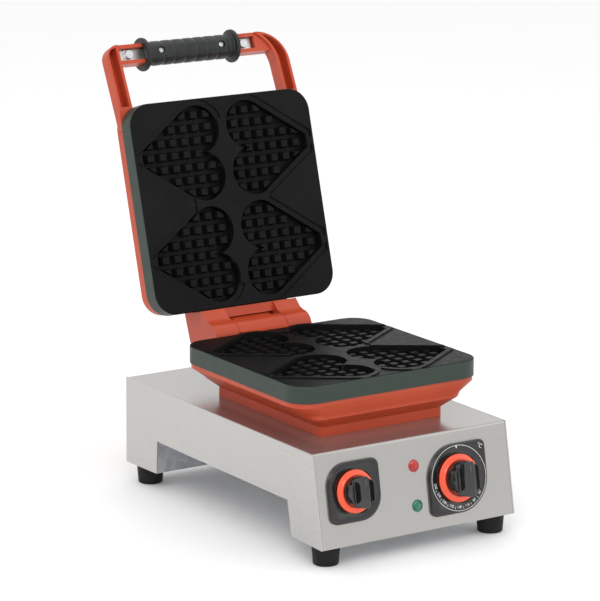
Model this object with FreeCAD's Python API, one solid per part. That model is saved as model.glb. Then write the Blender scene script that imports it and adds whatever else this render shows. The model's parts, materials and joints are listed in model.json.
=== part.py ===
import FreeCAD, Part
import math
import os

# A counter-top waffle maker that bakes four heart waffles between two hinged cast plates.
# Millimetres. X runs across the machine, Y to its back and Z up. The origin is on the floor
# under the middle of the whole machine with its lid open, which is how it is drawn.

os.makedirs("parts", exist_ok=True)
V = FreeCAD.Vector
X_AXIS = V(1, 0, 0)
Z_AXIS = V(0, 0, 1)

# ---- Housing ----
BASE_W = 260.0                  # housing width
BASE_L = 400.0                  # length of its top
TOP_Z = 126.0                   # height of its top
FOOT_H = 22.0                   # rubber feet
FRONT_Y = -218.0                # top front edge of the housing
FRONT_LEAN = 19.0               # the front panel's lower edge stands this far forward of its top
REAR_LEAN = 1.5
SHEET = 1.5                     # stainless sheet
SEAM = 0.2                      # gap between two sheets that meet at an edge
LEG_TOP_Z = 62.0                # lower edge of the side panels between the legs
FRONT_LEG = 54.0                # length of the front legs at that edge
FRONT_LEG_FOOT = 46.0           # and at their lower end
REAR_LEG = 334.5                # where the rear legs begin, measured from the top front edge
REAR_LEG_FOOT = 336.5
SIDE_TUCK = 3.0                 # the side panels are folded in this far between the legs
FOOT_X = 111.0
FOOT_FRONT = 1.5                # centres of the feet, from the top front edge
FOOT_REAR = 378.0
FOOT_R_TOP = 16.0
FOOT_R_BOTTOM = 14.2

# ---- Baking plates ----
PLATE = 248.0
PLATE_T = 20.0
PLATE_CORNER = 27.0
PLATE_FRONT = FRONT_Y + 35.5
PLATE_REAR = PLATE_FRONT + PLATE
PLATE_MID = PLATE_FRONT + PLATE / 2
CONTACT_Z = 190.7               # top face of the lower plate
CLOSED_GAP = 0.4                # between the faces of the two plates when the lid is down
RIM_INSET = 1.5                 # the castings stand back this far under the plates
RIM_BOTTOM_Z = 165.1
CAST_WALL = 5.0

# ---- Heart moulds, in a heart's own axes: its tip points along +X, its lobes face the middle ----
HEART_SPACING = 120.0           # between the middles of two hearts in a column
LOBE_X = 34.5                   # from the plate's middle line to the lobes' centres
LOBE_Y = 27.5
LOBE_R = 29.0
HEART_ANGLE = math.radians(34.4)
TIP_X = 113.5
MOULD_DEPTH = 12.0
BLOCK_DROP = 3.6                # block tops lie this far under the plate's face
BLOCK_PITCH_X = 16.35
BLOCK_PITCH_Y = 15.2
BLOCK_FIRST_X = 18.75
BLOCK_TOP = (8.2, 7.6)
BLOCK_FOOT = (11.4, 10.6)
BLOCK_CLEAR = 2.6               # between the outermost blocks and the mould's wall
RIB_H = 1.5                     # raised rib beside the straight sides of each lower heart
RIB_W = 5.8
RIB_GAP = 0.4                   # between the mould's wall and the rib
RIB_FROM_X = 51.0
RIB_TO_X = 119.7
LOBE_BAND_END = 161.0           # direction from the lobe's centre where the rib round it ends, in degrees
GROOVE_CLEAR = 0.7              # the upper plate's grooves are this much larger than the ribs

# ---- Hinge ----
HINGE_Y = FRONT_Y + 316.0
HINGE_Z = CONTACT_Z - 9.0
OPEN_ANGLE = 105.6
KNUCKLE_R = 17.0
KNUCKLE_MID = 33.5              # half length of the middle knuckle
KNUCKLE_OUT = 66.0              # half length over the outer knuckles
KNUCKLE_GAP = 0.5
PIN_R = 6.0
PIN_FIT = 0.02
PIN_RUN = 0.06

# ---- Handle, in the plane of its arms, which leans back from the lid ----
ARM_LEAN = 10.0
ARM_OUT = 123.5                 # outer face of both arms
ARM_W = 18.0
ARM_DEPTH = 18.0
ARM_WALL = 3.5
ARM_BACK = 5.0
ARM_TOP = 77.5                  # height of the arms above their root
ARM_SINK = 25.0                 # the arms' roots wrap this far round the casting's corners
ARM_ROUND = 6.0                 # on their outer rear edges
STUB_H = 23.5
STUB_SET = 2.5                  # the stubs' front edges lie this far behind the arms'
BEND_RIGHT = 39.0               # outer radius of the right arm's bend
BEND_LEFT = 17.0
BEND_INNER = 43.0               # inner radius of the right arm's bend, which ends at the line below
BEND_END = 84.0
GRIP_FROM = -72.0
GRIP_TO = 56.0
GRIP_R = 14.6
GRIP_FLANGE_R = 20.0
GRIP_FLANGE_T = 5.0
STRAP_W = 14.0
STRAP_T = 4.0
GRIP_SCREW_X = 41.5

# ---- Controls, placed on the sloping front panel: across, and down from its top edge ----
DIAL_AT = (56.0, 53.7)
SWITCH_AT = (-82.0, 47.0)
RED_LAMP_AT = (0.0, 31.5)
GREEN_LAMP_AT = (0.0, 76.0)
LAMP_R = 7.0
BEZEL_T = 4.5
SHAFT_R = 3.0
SHAFT_RUN = 0.05

PANEL_SLANT = math.degrees(math.atan2(FRONT_LEAN, TOP_Z - FOOT_H))


# ---- Shape helpers ----

def box(x0, y0, z0, x1, y1, z1):
    return Part.makeBox(x1 - x0, y1 - y0, z1 - z0, V(x0, y0, z0))


def cylinder(radius, start, end):
    start = V(*start)
    run = V(*end) - start
    return Part.makeCylinder(radius, run.Length, start, run)


def cone(r_start, r_end, start, end):
    start = V(*start)
    run = V(*end) - start
    return Part.makeCone(r_start, r_end, run.Length, start, run)


def joined(shapes):
    whole = shapes[0]
    if len(shapes) > 1:
        whole = whole.fuse(shapes[1:])
    return whole.removeSplitter()


def group(shapes):
    return Part.makeCompound(shapes)


def rounded_wire(x0, y0, x1, y1, radius, z):
    """Rectangle with rounded corners, as a closed wire at height z."""
    corners = [(x0, y0, 180), (x1, y0, 270), (x1, y1, 0), (x0, y1, 90)]
    edges = []
    last = None
    first = None
    for cx, cy, start in corners:
        mx = cx + (radius if cx == x0 else -radius)
        my = cy + (radius if cy == y0 else -radius)
        arc = [V(mx + radius * math.cos(math.radians(start + turn)),
                 my + radius * math.sin(math.radians(start + turn)), z) for turn in (0, 45, 90)]
        if last is not None:
            edges.append(Part.makeLine(last, arc[0]))
        edges.append(Part.Arc(*arc).toShape())
        first = first or arc[0]
        last = arc[2]
    edges.append(Part.makeLine(last, first))
    return Part.Wire(edges)


def rounded_slab(x0, y0, x1, y1, radius, z0, z1):
    return Part.Face(rounded_wire(x0, y0, x1, y1, radius, z0)).extrude(V(0, 0, z1 - z0))


def prism_yz(points, x0, x1):
    """Solid with an outline in the YZ plane, from x0 to x1."""
    wire = Part.makePolygon([V(x0, y, z) for y, z in points + points[:1]])
    return Part.Face(wire).extrude(V(x1 - x0, 0, 0))


def prism_xy(points, z0, z1):
    wire = Part.makePolygon([V(x, y, z0) for x, y in points + points[:1]])
    return Part.Face(wire).extrude(V(0, 0, z1 - z0))


def folded(points, thickness, x0, x1):
    """Sheet bent along a line in the YZ plane; the thickness lies on the line's left."""
    normals = []
    for (ya, za), (yb, zb) in zip(points, points[1:]):
        length = math.hypot(yb - ya, zb - za)
        normals.append((-(zb - za) / length, (yb - ya) / length))
    inner = []
    for i, (y, z) in enumerate(points):
        before = normals[max(i - 1, 0)]
        after = normals[min(i, len(normals) - 1)]
        share = thickness / (1 + before[0] * after[0] + before[1] * after[1])
        inner.append((y + share * (before[0] + after[0]), z + share * (before[1] + after[1])))
    return prism_yz(points + inner[::-1], x0, x1)


def rod(points, radius):
    """Round rod through the points, with ball corners."""
    pieces = []
    for start, end in zip(points, points[1:]):
        pieces.append(cylinder(radius, start, end))
    for corner in points[1:-1]:
        pieces.append(Part.makeSphere(radius, V(*corner)))
    return joined(pieces)


def hex_head(across, height, at, direction):
    """Six-sided screw head that stands on a point."""
    radius = across / math.sqrt(3)
    points = [V(radius * math.cos(math.radians(60 * i)), radius * math.sin(math.radians(60 * i)), 0)
              for i in range(7)]
    head = Part.Face(Part.makePolygon(points)).extrude(V(0, 0, height))
    head.Placement = FreeCAD.Placement(V(*at), FreeCAD.Rotation(Z_AXIS, V(*direction)))
    return head


def bolt(at, direction, length, radius, across, head_h):
    """Hex bolt: the point is under its head, and its shank runs along the direction."""
    at = V(*at)
    direction = V(*direction).normalize()
    head = hex_head(across, head_h, tuple(at), tuple(-direction))
    return joined([head, Part.makeCylinder(radius, length, at, direction)])


def lid_pose(shape):
    """Swings a part of the lid from its closed place to the open one."""
    turned = shape.copy()
    turned.rotate(V(0, HINGE_Y, HINGE_Z), X_AXIS, -OPEN_ANGLE)
    return turned


def panel_pose(shape, at):
    """Puts a part drawn about the Z axis on the front panel, with Z pointing out of the panel."""
    placed = shape.copy()
    placed.translate(V(at[0], -at[1], 0))
    placed.rotate(V(0, 0, 0), X_AXIS, 90 - PANEL_SLANT)
    placed.translate(V(0, FRONT_Y, TOP_Z))
    return placed


NODES = {}


def node(name, shape):
    NODES[name] = shape


# ---- Housing ----

def housing_profile(inset):
    """Front, top and rear outline of the housing, moved in by the sheet's thickness."""
    slope = math.hypot(FRONT_LEAN, TOP_Z - FOOT_H) / (TOP_Z - FOOT_H)
    drop = 10.0 if inset else 0.0
    lean_front = FRONT_LEAN * drop / (TOP_Z - FOOT_H)
    lean_rear = REAR_LEAN * drop / (TOP_Z - FOOT_H)
    top_shift = FRONT_LEAN * inset / (TOP_Z - FOOT_H)
    return [(FRONT_Y - FRONT_LEAN - lean_front + inset * slope, FOOT_H - drop),
            (FRONT_Y - top_shift + inset * slope, TOP_Z - inset),
            (FRONT_Y + BASE_L - inset, TOP_Z - inset),
            (FRONT_Y + BASE_L + REAR_LEAN + lean_rear - inset, FOOT_H - drop)]


NECK_X = 83.0
NECK_FRONT = FRONT_Y + 54.5
NECK_REAR = FRONT_Y + 273.0
NECK_WALL = 6.0
CASTING_BOLTS = [(x, y) for x in (-64, 64) for y in (NECK_FRONT + 24, NECK_REAR - 24)]
BELLY_SCREWS = [(x, FRONT_Y + y) for x in (-118, 118) for y in (80, 194, 308)]
MAINS_INLET = (-60.0, 70.0)     # across and height, on the rear panel
LID_OUTLET = (60.0, 92.0)
GLAND_R = 8.0


def panel_hole(at, radius):
    return panel_pose(cylinder(radius, (0, 0, -10), (0, 0, 10)), at)


def base_wrap():
    half = BASE_W / 2 - SHEET - SEAM
    outer = prism_yz(housing_profile(0), -half, half)
    bends = [e for e in outer.Edges if abs(e.CenterOfMass.x) < 1 and abs(e.CenterOfMass.z - TOP_Z) < 1]
    outer = outer.makeFillet(3.0, bends)
    sheet = outer.cut(prism_yz(housing_profile(SHEET), -half - 1, half + 1))
    rear = FRONT_Y + BASE_L
    cuts = [panel_hole(DIAL_AT, 6.0), panel_hole(SWITCH_AT, 6.0),
            panel_hole(RED_LAMP_AT, 5.2), panel_hole(GREEN_LAMP_AT, 5.2),
            rounded_slab(-NECK_X + 30, NECK_FRONT + 34, NECK_X - 30, NECK_REAR - 34, 8, TOP_Z - 9, TOP_Z + 9)]
    for x, y in CASTING_BOLTS:
        cuts.append(cylinder(4.4, (x, y, TOP_Z - 9), (x, y, TOP_Z + 9)))
    for x, z in (MAINS_INLET, LID_OUTLET):
        cuts.append(cylinder(GLAND_R + 0.2, (x, rear - 9, z), (x, rear + 9, z)))
    return sheet.cut(cuts)


def side_facets():
    """Corners of a side panel's three flat parts, as distance out, along Y and height."""
    half = BASE_W / 2
    tucked = half - SIDE_TUCK
    top_front = (half, FRONT_Y, TOP_Z)
    top_rear = (half, FRONT_Y + BASE_L, TOP_Z)
    toe = (half, FRONT_Y - FRONT_LEAN, FOOT_H)
    heel = (half, FRONT_Y + BASE_L + REAR_LEAN, FOOT_H)
    front_fold = (tucked, FRONT_Y + FRONT_LEG, LEG_TOP_Z)
    rear_fold = (tucked, FRONT_Y + REAR_LEG, LEG_TOP_Z)

    def in_plane(a, b, c, y, z):
        normal = (V(*b) - V(*a)).cross(V(*c) - V(*a))
        return (a[0] - (normal.y * (y - a[1]) + normal.z * (z - a[2])) / normal.x, y, z)

    front_foot = in_plane(top_front, toe, front_fold, FRONT_Y + FRONT_LEG_FOOT, FOOT_H)
    rear_foot = in_plane(top_rear, heel, rear_fold, FRONT_Y + REAR_LEG_FOOT, FOOT_H)
    return [[top_front, top_rear, rear_fold, front_fold],
            [top_front, front_fold, front_foot, toe],
            [top_rear, heel, rear_foot, rear_fold]]


def side_panel(side):
    sheets = []
    for facet in side_facets():
        wire = Part.makePolygon([V(side * x, y, z) for x, y, z in facet + facet[:1]])
        sheets.append(Part.Face(wire).extrude(V(-side * SHEET, 0, 0)))
    edge = BASE_W / 2 - SIDE_TUCK
    flange = box(edge - 14, FRONT_Y + FRONT_LEG + 4, LEG_TOP_Z,
                 edge - 0.5, FRONT_Y + REAR_LEG - 4, LEG_TOP_Z + SHEET)
    if side < 0:
        flange = flange.mirror(V(0, 0, 0), X_AXIS)
    holes = [cylinder(2.05, (x, y, LEG_TOP_Z - 1), (x, y, LEG_TOP_Z + 3)) for x, y in BELLY_SCREWS]
    return joined(sheets + [flange]).cut(holes)


def foot_holes(y):
    return [cylinder(2.55, (x, y, FOOT_H - 1), (x, y, FOOT_H + 3)) for x in (-FOOT_X, FOOT_X)]


def cross_panel(front):
    """Folded sheet that closes a pair of legs and carries their feet."""
    half = BASE_W / 2 - SIDE_TUCK - SHEET - SEAM
    if front:
        rise = (LEG_TOP_Z - FOOT_H) / (FRONT_LEG - FRONT_LEG_FOOT)
        path = [(FRONT_Y + FRONT_LEG + 12 / rise, LEG_TOP_Z + 12), (FRONT_Y + FRONT_LEG_FOOT, FOOT_H),
                (FRONT_Y - FRONT_LEAN + 3, FOOT_H)]
        sheet = folded(path[::-1], SHEET, -half, half)
        return sheet.cut(foot_holes(FRONT_Y + FOOT_FRONT))
    path = [(FRONT_Y + REAR_LEG, LEG_TOP_Z + 12), (FRONT_Y + REAR_LEG, LEG_TOP_Z),
            (FRONT_Y + REAR_LEG_FOOT, FOOT_H), (FRONT_Y + BASE_L + REAR_LEAN - 3, FOOT_H)]
    return folded(path, SHEET, -half, half).cut(foot_holes(FRONT_Y + FOOT_REAR))


def belly_cover():
    half = BASE_W / 2 - SIDE_TUCK - SHEET - SEAM
    sheet = box(-half, FRONT_Y + FRONT_LEG + 3, LEG_TOP_Z - SHEET, half, FRONT_Y + REAR_LEG - 2, LEG_TOP_Z)
    slots = []
    for row in range(2):
        for i in range(9):
            x = -64 + 16 * i
            y = FRONT_Y + 120 + 110 * row
            slots.append(rounded_slab(x - 2.5, y - 22, x + 2.5, y + 22, 2.4, LEG_TOP_Z - 9, LEG_TOP_Z + 9))
    holes = [cylinder(2.2, (x, y, LEG_TOP_Z - 9), (x, y, LEG_TOP_Z + 9)) for x, y in BELLY_SCREWS]
    return sheet.cut(slots + holes)


def belly_screws():
    screws = []
    for x, y in BELLY_SCREWS:
        head = cone(2.4, 4.0, (x, y, LEG_TOP_Z - SHEET - 2.2), (x, y, LEG_TOP_Z - SHEET))
        screws.append(joined([head, cylinder(2.0, (x, y, LEG_TOP_Z - SHEET), (x, y, LEG_TOP_Z - SHEET + 9))]))
    return group(screws)


def foot(x, y):
    body = cone(FOOT_R_BOTTOM, FOOT_R_TOP, (x, y, 0), (x, y, FOOT_H))
    recess = cylinder(6.0, (x, y, -1), (x, y, 10))
    hole = cylinder(2.6, (x, y, -1), (x, y, FOOT_H + 1))
    return body.cut([recess, hole])


def foot_screws(feet):
    screws = []
    for x, y in feet:
        head = cylinder(4.6, (x, y, 6.5), (x, y, 10))
        screws.append(joined([head, cylinder(2.5, (x, y, 10), (x, y, FOOT_H + 10))]))
    return group(screws)


# ---- Baking plates ----

def heart_wire(inset, z):
    """Outline of a heart mould, moved in by the inset."""
    radius = LOBE_R - inset
    tip = TIP_X - inset
    cleft_x = LOBE_X - math.sqrt(radius ** 2 - LOBE_Y ** 2) if radius > LOBE_Y else None
    touch_x = LOBE_X + radius * math.sin(HEART_ANGLE)
    touch_y = LOBE_Y + radius * math.cos(HEART_ANGLE)
    tip_y = touch_y - (tip - touch_x) * math.tan(HEART_ANGLE)
    end_turn = 90 - math.degrees(HEART_ANGLE)
    if cleft_x is None:
        start_turn = 270.0
        cleft_x = LOBE_X
        start_y = LOBE_Y - radius
    else:
        start_turn = 180 + math.degrees(math.atan2(LOBE_Y, LOBE_X - cleft_x))
        start_y = 0.0
    middle_turn = math.radians((start_turn + end_turn) / 2)
    middle = (LOBE_X + radius * math.cos(middle_turn), LOBE_Y + radius * math.sin(middle_turn))
    start = (cleft_x, start_y)
    touch = (touch_x, touch_y)

    def arc(sign, ends):
        a, b = ends
        return Part.Arc(V(a[0], sign * a[1], z), V(middle[0], sign * middle[1], z),
                        V(b[0], sign * b[1], z)).toShape()

    edges = [arc(1, (start, touch)),
             Part.makeLine(V(touch_x, touch_y, z), V(tip, tip_y, z)),
             Part.makeLine(V(tip, tip_y, z), V(tip, -tip_y, z)),
             Part.makeLine(V(tip, -tip_y, z), V(touch_x, -touch_y, z)),
             arc(-1, (touch, start))]
    if start_y > 0:
        edges.append(Part.makeLine(V(cleft_x, -start_y, z), V(cleft_x, start_y, z)))
    return Part.Wire(edges)


def mould_block(x, y):
    """One block of the waffle pattern, standing on the mould's floor."""
    foot_x, foot_y = BLOCK_FOOT
    top_x, top_y = BLOCK_TOP
    wires = []
    for wide, deep, z in ((foot_x, foot_y, -MOULD_DEPTH), (top_x, top_y, -BLOCK_DROP)):
        corners = [(-1, -1), (1, -1), (1, 1), (-1, 1), (-1, -1)]
        wires.append(Part.makePolygon([V(x + a * wide / 2, y + b * deep / 2, z) for a, b in corners]))
    return Part.makeLoft(wires, True, True)


def heart_mould():
    """What one heart takes out of a plate whose face lies at z = 0."""
    room = Part.Face(heart_wire(0, -MOULD_DEPTH)).extrude(V(0, 0, MOULD_DEPTH + 5))
    inner = Part.Face(heart_wire(BLOCK_CLEAR, -MOULD_DEPTH)).extrude(V(0, 0, MOULD_DEPTH))
    blocks = []
    for row in range(-3, 4):
        for column in range(6):
            x = BLOCK_FIRST_X + BLOCK_PITCH_X * column
            clipped = mould_block(x, BLOCK_PITCH_Y * row).common(inner)
            if clipped.Volume > 150:
                blocks += clipped.Solids
    return room.cut(blocks)


def lobe_band(clear, z0, z1):
    """Bar that follows a heart's outer lobe from its straight side to the plate's middle line."""
    centre = V(LOBE_X, LOBE_Y, z0)
    outer = Part.makeCylinder(LOBE_R + RIB_GAP + RIB_W + clear, z1 - z0, centre)
    inner = Part.makeCylinder(LOBE_R + RIB_GAP - clear, z1 - z0, centre)
    keep = [(LOBE_X, LOBE_Y)]
    for turn in (90 - math.degrees(HEART_ANGLE), 90, 125, LOBE_BAND_END):
        keep.append((LOBE_X + 80 * math.cos(math.radians(turn)), LOBE_Y + 80 * math.sin(math.radians(turn))))
    return outer.cut(inner).common(prism_xy(keep, z0, z1))


def rib_bars(clear, z0, z1):
    """Bars beside a heart's two straight sides and round its outer lobe."""
    apex = LOBE_X + (LOBE_R + LOBE_Y * math.cos(HEART_ANGLE)) / math.sin(HEART_ANGLE)
    slope = math.tan(HEART_ANGLE)
    near = apex + (RIB_GAP - clear) / math.sin(HEART_ANGLE)
    far = apex + (RIB_GAP + RIB_W + clear) / math.sin(HEART_ANGLE)
    x0 = RIB_FROM_X - clear
    x1 = RIB_TO_X + clear
    bars = []
    for sign in (-1, 1):
        points = [(x0, (near - x0) * slope), (x1, (near - x1) * slope),
                  (x1, (far - x1) * slope), (x0, (far - x0) * slope)]
        bars.append(prism_xy([(x, sign * y) for x, y in points], z0, z1))
    return bars + [lobe_band(clear, z0, z1)]


def four_hearts(shapes, face_z, up):
    """Copies of a heart's shapes for the four moulds; up is 1 for the lower plate."""
    copies = []
    for side in (-1, 1):
        for place in (-1, 1):
            for shape in shapes:
                copy = shape.copy()
                if place < 0:
                    copy = copy.mirror(V(0, 0, 0), V(0, 1, 0))
                if side < 0:
                    copy = copy.mirror(V(0, 0, 0), X_AXIS)
                if up < 0:
                    copy = copy.mirror(V(0, 0, 0), Z_AXIS)
                copy.translate(V(0, PLATE_MID + place * HEART_SPACING / 2, face_z))
                copies.append(copy)
    return copies


LOWER_STUDS = [(-70, PLATE_MID), (70, PLATE_MID), (0, PLATE_MID - 90), (0, PLATE_MID + 90)]
UPPER_STUDS = [(x, PLATE_REAR - v) for x in (-109, 109) for v in (33, 214)]
UPPER_FACE_Z = CONTACT_Z + CLOSED_GAP


def plate_blank(z0, z1, face_z):
    half = PLATE / 2
    blank = rounded_slab(-half, PLATE_FRONT, half, PLATE_REAR, PLATE_CORNER, z0, z1)
    rims = [e for e in blank.Edges
            if abs(e.CenterOfMass.z - face_z) < 0.01 and abs(e.BoundBox.ZLength) < 0.01]
    return blank.makeFillet(1.6, rims)


def lower_plate(mould):
    blank = plate_blank(CONTACT_Z - PLATE_T, CONTACT_Z, CONTACT_Z)
    under = CONTACT_Z - PLATE_T
    holes = [cylinder(3.05, (x, y, under - 1), (x, y, under + 12)) for x, y in LOWER_STUDS]
    blank = blank.cut(four_hearts([mould], CONTACT_Z, 1) + holes)
    return blank.fuse(four_hearts(rib_bars(0, -0.5, RIB_H), CONTACT_Z, 1)).removeSplitter()


def upper_plate(mould):
    top = UPPER_FACE_Z + PLATE_T
    blank = plate_blank(UPPER_FACE_Z, top, UPPER_FACE_Z)
    holes = [cylinder(3.05, (x, y, top - 12), (x, y, top + 1)) for x, y in UPPER_STUDS]
    grooves = rib_bars(GROOVE_CLEAR, -RIB_H - 0.4, 2)
    return blank.cut(four_hearts([mould] + grooves, UPPER_FACE_Z, -1) + holes)


# ---- Lower casting ----

LOWER_SECTIONS = [               # half width, front, rear, corner radius and height, from the top down
    (PLATE / 2 - RIM_INSET, PLATE_FRONT + RIM_INSET, PLATE_REAR - RIM_INSET, 25.5, CONTACT_Z - PLATE_T),
    (PLATE / 2 - RIM_INSET, PLATE_FRONT + RIM_INSET, PLATE_REAR - RIM_INSET, 25.5, RIM_BOTTOM_Z),
    (106.0, FRONT_Y + 42.0, FRONT_Y + 279.0, 18.0, 153.9),
    (99.5, FRONT_Y + 42.0, FRONT_Y + 277.5, 12.0, 148.8),
    (NECK_X, NECK_FRONT, NECK_REAR, 8.0, 136.7),
]
CAST_FLOOR_Z = 141.0


def section_loft(sections, inset):
    solids = []
    for upper, lower in zip(sections, sections[1:]):
        wires = []
        for half, front, rear, radius, z in (lower, upper):
            wires.append(rounded_wire(-half + inset, front + inset, half - inset, rear - inset,
                                      radius - inset, z))
        solids.append(Part.makeLoft(wires, True, True))
    return solids


def hinge_bracket():
    """Bracket behind the lower casting, with the middle knuckle and the lid's stop."""
    web = prism_yz([(FRONT_Y + 276, 150), (FRONT_Y + 276, CONTACT_Z - PLATE_T - 2),
                    (PLATE_REAR + 1.0, CONTACT_Z - PLATE_T - 2), (PLATE_REAR + 1.0, CONTACT_Z - 2.2),
                    (HINGE_Y, CONTACT_Z - 2.2), (HINGE_Y + 10, HINGE_Z - 13.7), (HINGE_Y - 4, HINGE_Z - 16.5)],
                   -KNUCKLE_MID, KNUCKLE_MID)
    knuckle = cylinder(KNUCKLE_R, (-KNUCKLE_MID, HINGE_Y, HINGE_Z), (KNUCKLE_MID, HINGE_Y, HINGE_Z))
    face_y = HINGE_Y - LID_END + 0.4
    stop = prism_yz([(face_y, HINGE_Z + 14), (face_y, HINGE_Z + 32), (face_y + 8, HINGE_Z + 32),
                     (HINGE_Y + 2, HINGE_Z + 16), (HINGE_Y - 16, HINGE_Z + 3)], -26, 26)
    bore = cylinder(PIN_R + PIN_RUN, (-KNUCKLE_MID - 1, HINGE_Y, HINGE_Z),
                    (KNUCKLE_MID + 1, HINGE_Y, HINGE_Z))
    casting = section_loft(LOWER_SECTIONS, 0)
    return joined([web, knuckle, lid_pose(stop)]).cut(casting + [bore])


LID_END = 21.0                  # the lid's rear edge stops this far in front of the hinge line


def lower_casting():
    body = joined(section_loft(LOWER_SECTIONS, 0))
    neck = rounded_slab(-NECK_X, NECK_FRONT, NECK_X, NECK_REAR, 8.0, TOP_Z, 137)
    body = joined([body, neck])
    room = joined(section_loft([LOWER_SECTIONS[0][:4] + (CONTACT_Z,)] + LOWER_SECTIONS[1:], CAST_WALL))
    room = room.common(box(-200, FRONT_Y, CAST_FLOOR_Z, 200, FRONT_Y + BASE_L, 300))
    below = rounded_slab(-NECK_X + NECK_WALL, NECK_FRONT + NECK_WALL,
                         NECK_X - NECK_WALL, NECK_REAR - NECK_WALL, 3.0, TOP_Z - 1, CAST_FLOOR_Z - 5)
    bosses = [cylinder(8, (x, y, CAST_FLOOR_Z - 1), (x, y, CONTACT_Z - PLATE_T)) for x, y in LOWER_STUDS]
    feet = [cylinder(10, (x, y, TOP_Z), (x, y, CAST_FLOOR_Z - 4)) for x, y in CASTING_BOLTS]
    body = joined([body.cut([room, below])] + bosses + feet)
    cuts = [cylinder(3.3, (x, y, TOP_Z - 1), (x, y, CONTACT_Z)) for x, y in LOWER_STUDS]
    cuts += [cylinder(4.05, (x, y, TOP_Z - 1), (x, y, TOP_Z + 9)) for x, y in CASTING_BOLTS]
    cuts.append(rounded_slab(-34, PLATE_MID + 36, 34, PLATE_MID + 78, 6, TOP_Z, CAST_FLOOR_Z + 5))
    return body.cut(cuts)


def casting_bolts():
    """Bolts with broad flanged heads that clamp the casting's neck to the housing's top."""
    under = TOP_Z - SHEET
    bolts = []
    for x, y in CASTING_BOLTS:
        flange = cylinder(9.0, (x, y, under - 1.5), (x, y, under))
        bolts.append(joined([flange, bolt((x, y, under - 1.5), (0, 0, 1), 11.0, 4.0, 13.0, 5.3)]))
    return group(bolts)


def lower_plate_bolts():
    under = CAST_FLOOR_Z - 5
    return group([bolt((x, y, under), (0, 0, 1), CONTACT_Z - PLATE_T + 11 - under, 3.0, 10.0, 4.0)
                  for x, y in LOWER_STUDS])


# ---- Heating ----

HEATER_R = 4.0
HEATER_X = 92.0
HEATER_FRONT = -74.0
HEATER_REAR = 60.0
HEATER_END_X = 18.0


def heater_loop(z):
    """Path of a tubular heater that lies on the back of a plate."""
    return [(-HEATER_END_X, PLATE_MID + HEATER_REAR, z), (-HEATER_X, PLATE_MID + HEATER_REAR, z),
            (-HEATER_X, PLATE_MID + HEATER_FRONT, z), (HEATER_X, PLATE_MID + HEATER_FRONT, z),
            (HEATER_X, PLATE_MID + HEATER_REAR, z), (HEATER_END_X, PLATE_MID + HEATER_REAR, z)]


def lower_heater():
    loop = heater_loop(CONTACT_Z - PLATE_T - HEATER_R - 0.1)
    ends = [(x, PLATE_MID + HEATER_REAR, 118) for x in (-HEATER_END_X, HEATER_END_X)]
    return rod([ends[0]] + loop + [ends[1]], HEATER_R)


def upper_heater():
    loop = heater_loop(UPPER_FACE_Z + PLATE_T + HEATER_R + 0.1)
    ends = [(x, PLATE_MID + 20, loop[0][2]) for x in (-HEATER_END_X, HEATER_END_X)]
    return rod([ends[0]] + loop + [ends[1]], HEATER_R)


def mat(z0, z1, studs, stud_r):
    """Flat layer behind a heater, cut out round the studs and the heater's ends."""
    layer = rounded_slab(-80, PLATE_MID - 88, 80, PLATE_MID + 84, 10, z0, z1)
    cuts = [cylinder(stud_r, (x, y, z0 - 1), (x, y, z1 + 1)) for x, y in studs]
    cuts.append(rounded_slab(-34, PLATE_MID + 10, 34, PLATE_MID + 78, 6, z0 - 1, z1 + 1))
    return layer.cut(cuts)


# ---- Lid ----

LID_BACK = 38.5                 # back of the lid's casting, above the contact plane
LID_BOSS_R = 7.0
LID_BOSS_TOP = 46.0
LID_HATCH = 64.0                # half size of the opening under the lid's cover
LID_GLAND = (46.0, 26.0)        # across, and forward of the plate's rear edge


def lug(side):
    """Hinge lug of the lid with its outer knuckle, drawn closed."""
    outline = [(-32, 10), (-21, 3), (-16.5, -4), (0, 0), (17, 0), (14.5, 30), (7, 42.5), (0, 45.2), (-32, 48)]
    inner = KNUCKLE_MID + KNUCKLE_GAP
    body = prism_yz([(HINGE_Y + y, HINGE_Z + z) for y, z in outline], inner, KNUCKLE_OUT)
    knuckle = cylinder(KNUCKLE_R, (inner, HINGE_Y, HINGE_Z), (KNUCKLE_OUT, HINGE_Y, HINGE_Z))
    whole = body.fuse(knuckle)
    return whole if side > 0 else whole.mirror(V(0, 0, 0), X_AXIS)


def grub_tool(x, radius, depth):
    """Radial screw hole in an outer knuckle, level and facing the front with the lid open."""
    start = HINGE_Y - KNUCKLE_R - 1
    return cylinder(radius, (x, start, HINGE_Z), (x, start + depth, HINGE_Z))


def lid_shell():
    """Outer form of the lid's casting, without its hinge and drawn closed."""
    half = PLATE / 2 - RIM_INSET
    top = CONTACT_Z + LID_BACK
    shell = rounded_slab(-half, PLATE_FRONT + RIM_INSET, half, PLATE_REAR - RIM_INSET, 25.5,
                         UPPER_FACE_Z + PLATE_T, top)
    back_edges = [e for e in shell.Edges if abs(e.CenterOfMass.z - top) < 0.01 and e.BoundBox.ZLength < 0.01]
    return shell.makeFillet(5.0, back_edges)


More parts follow.
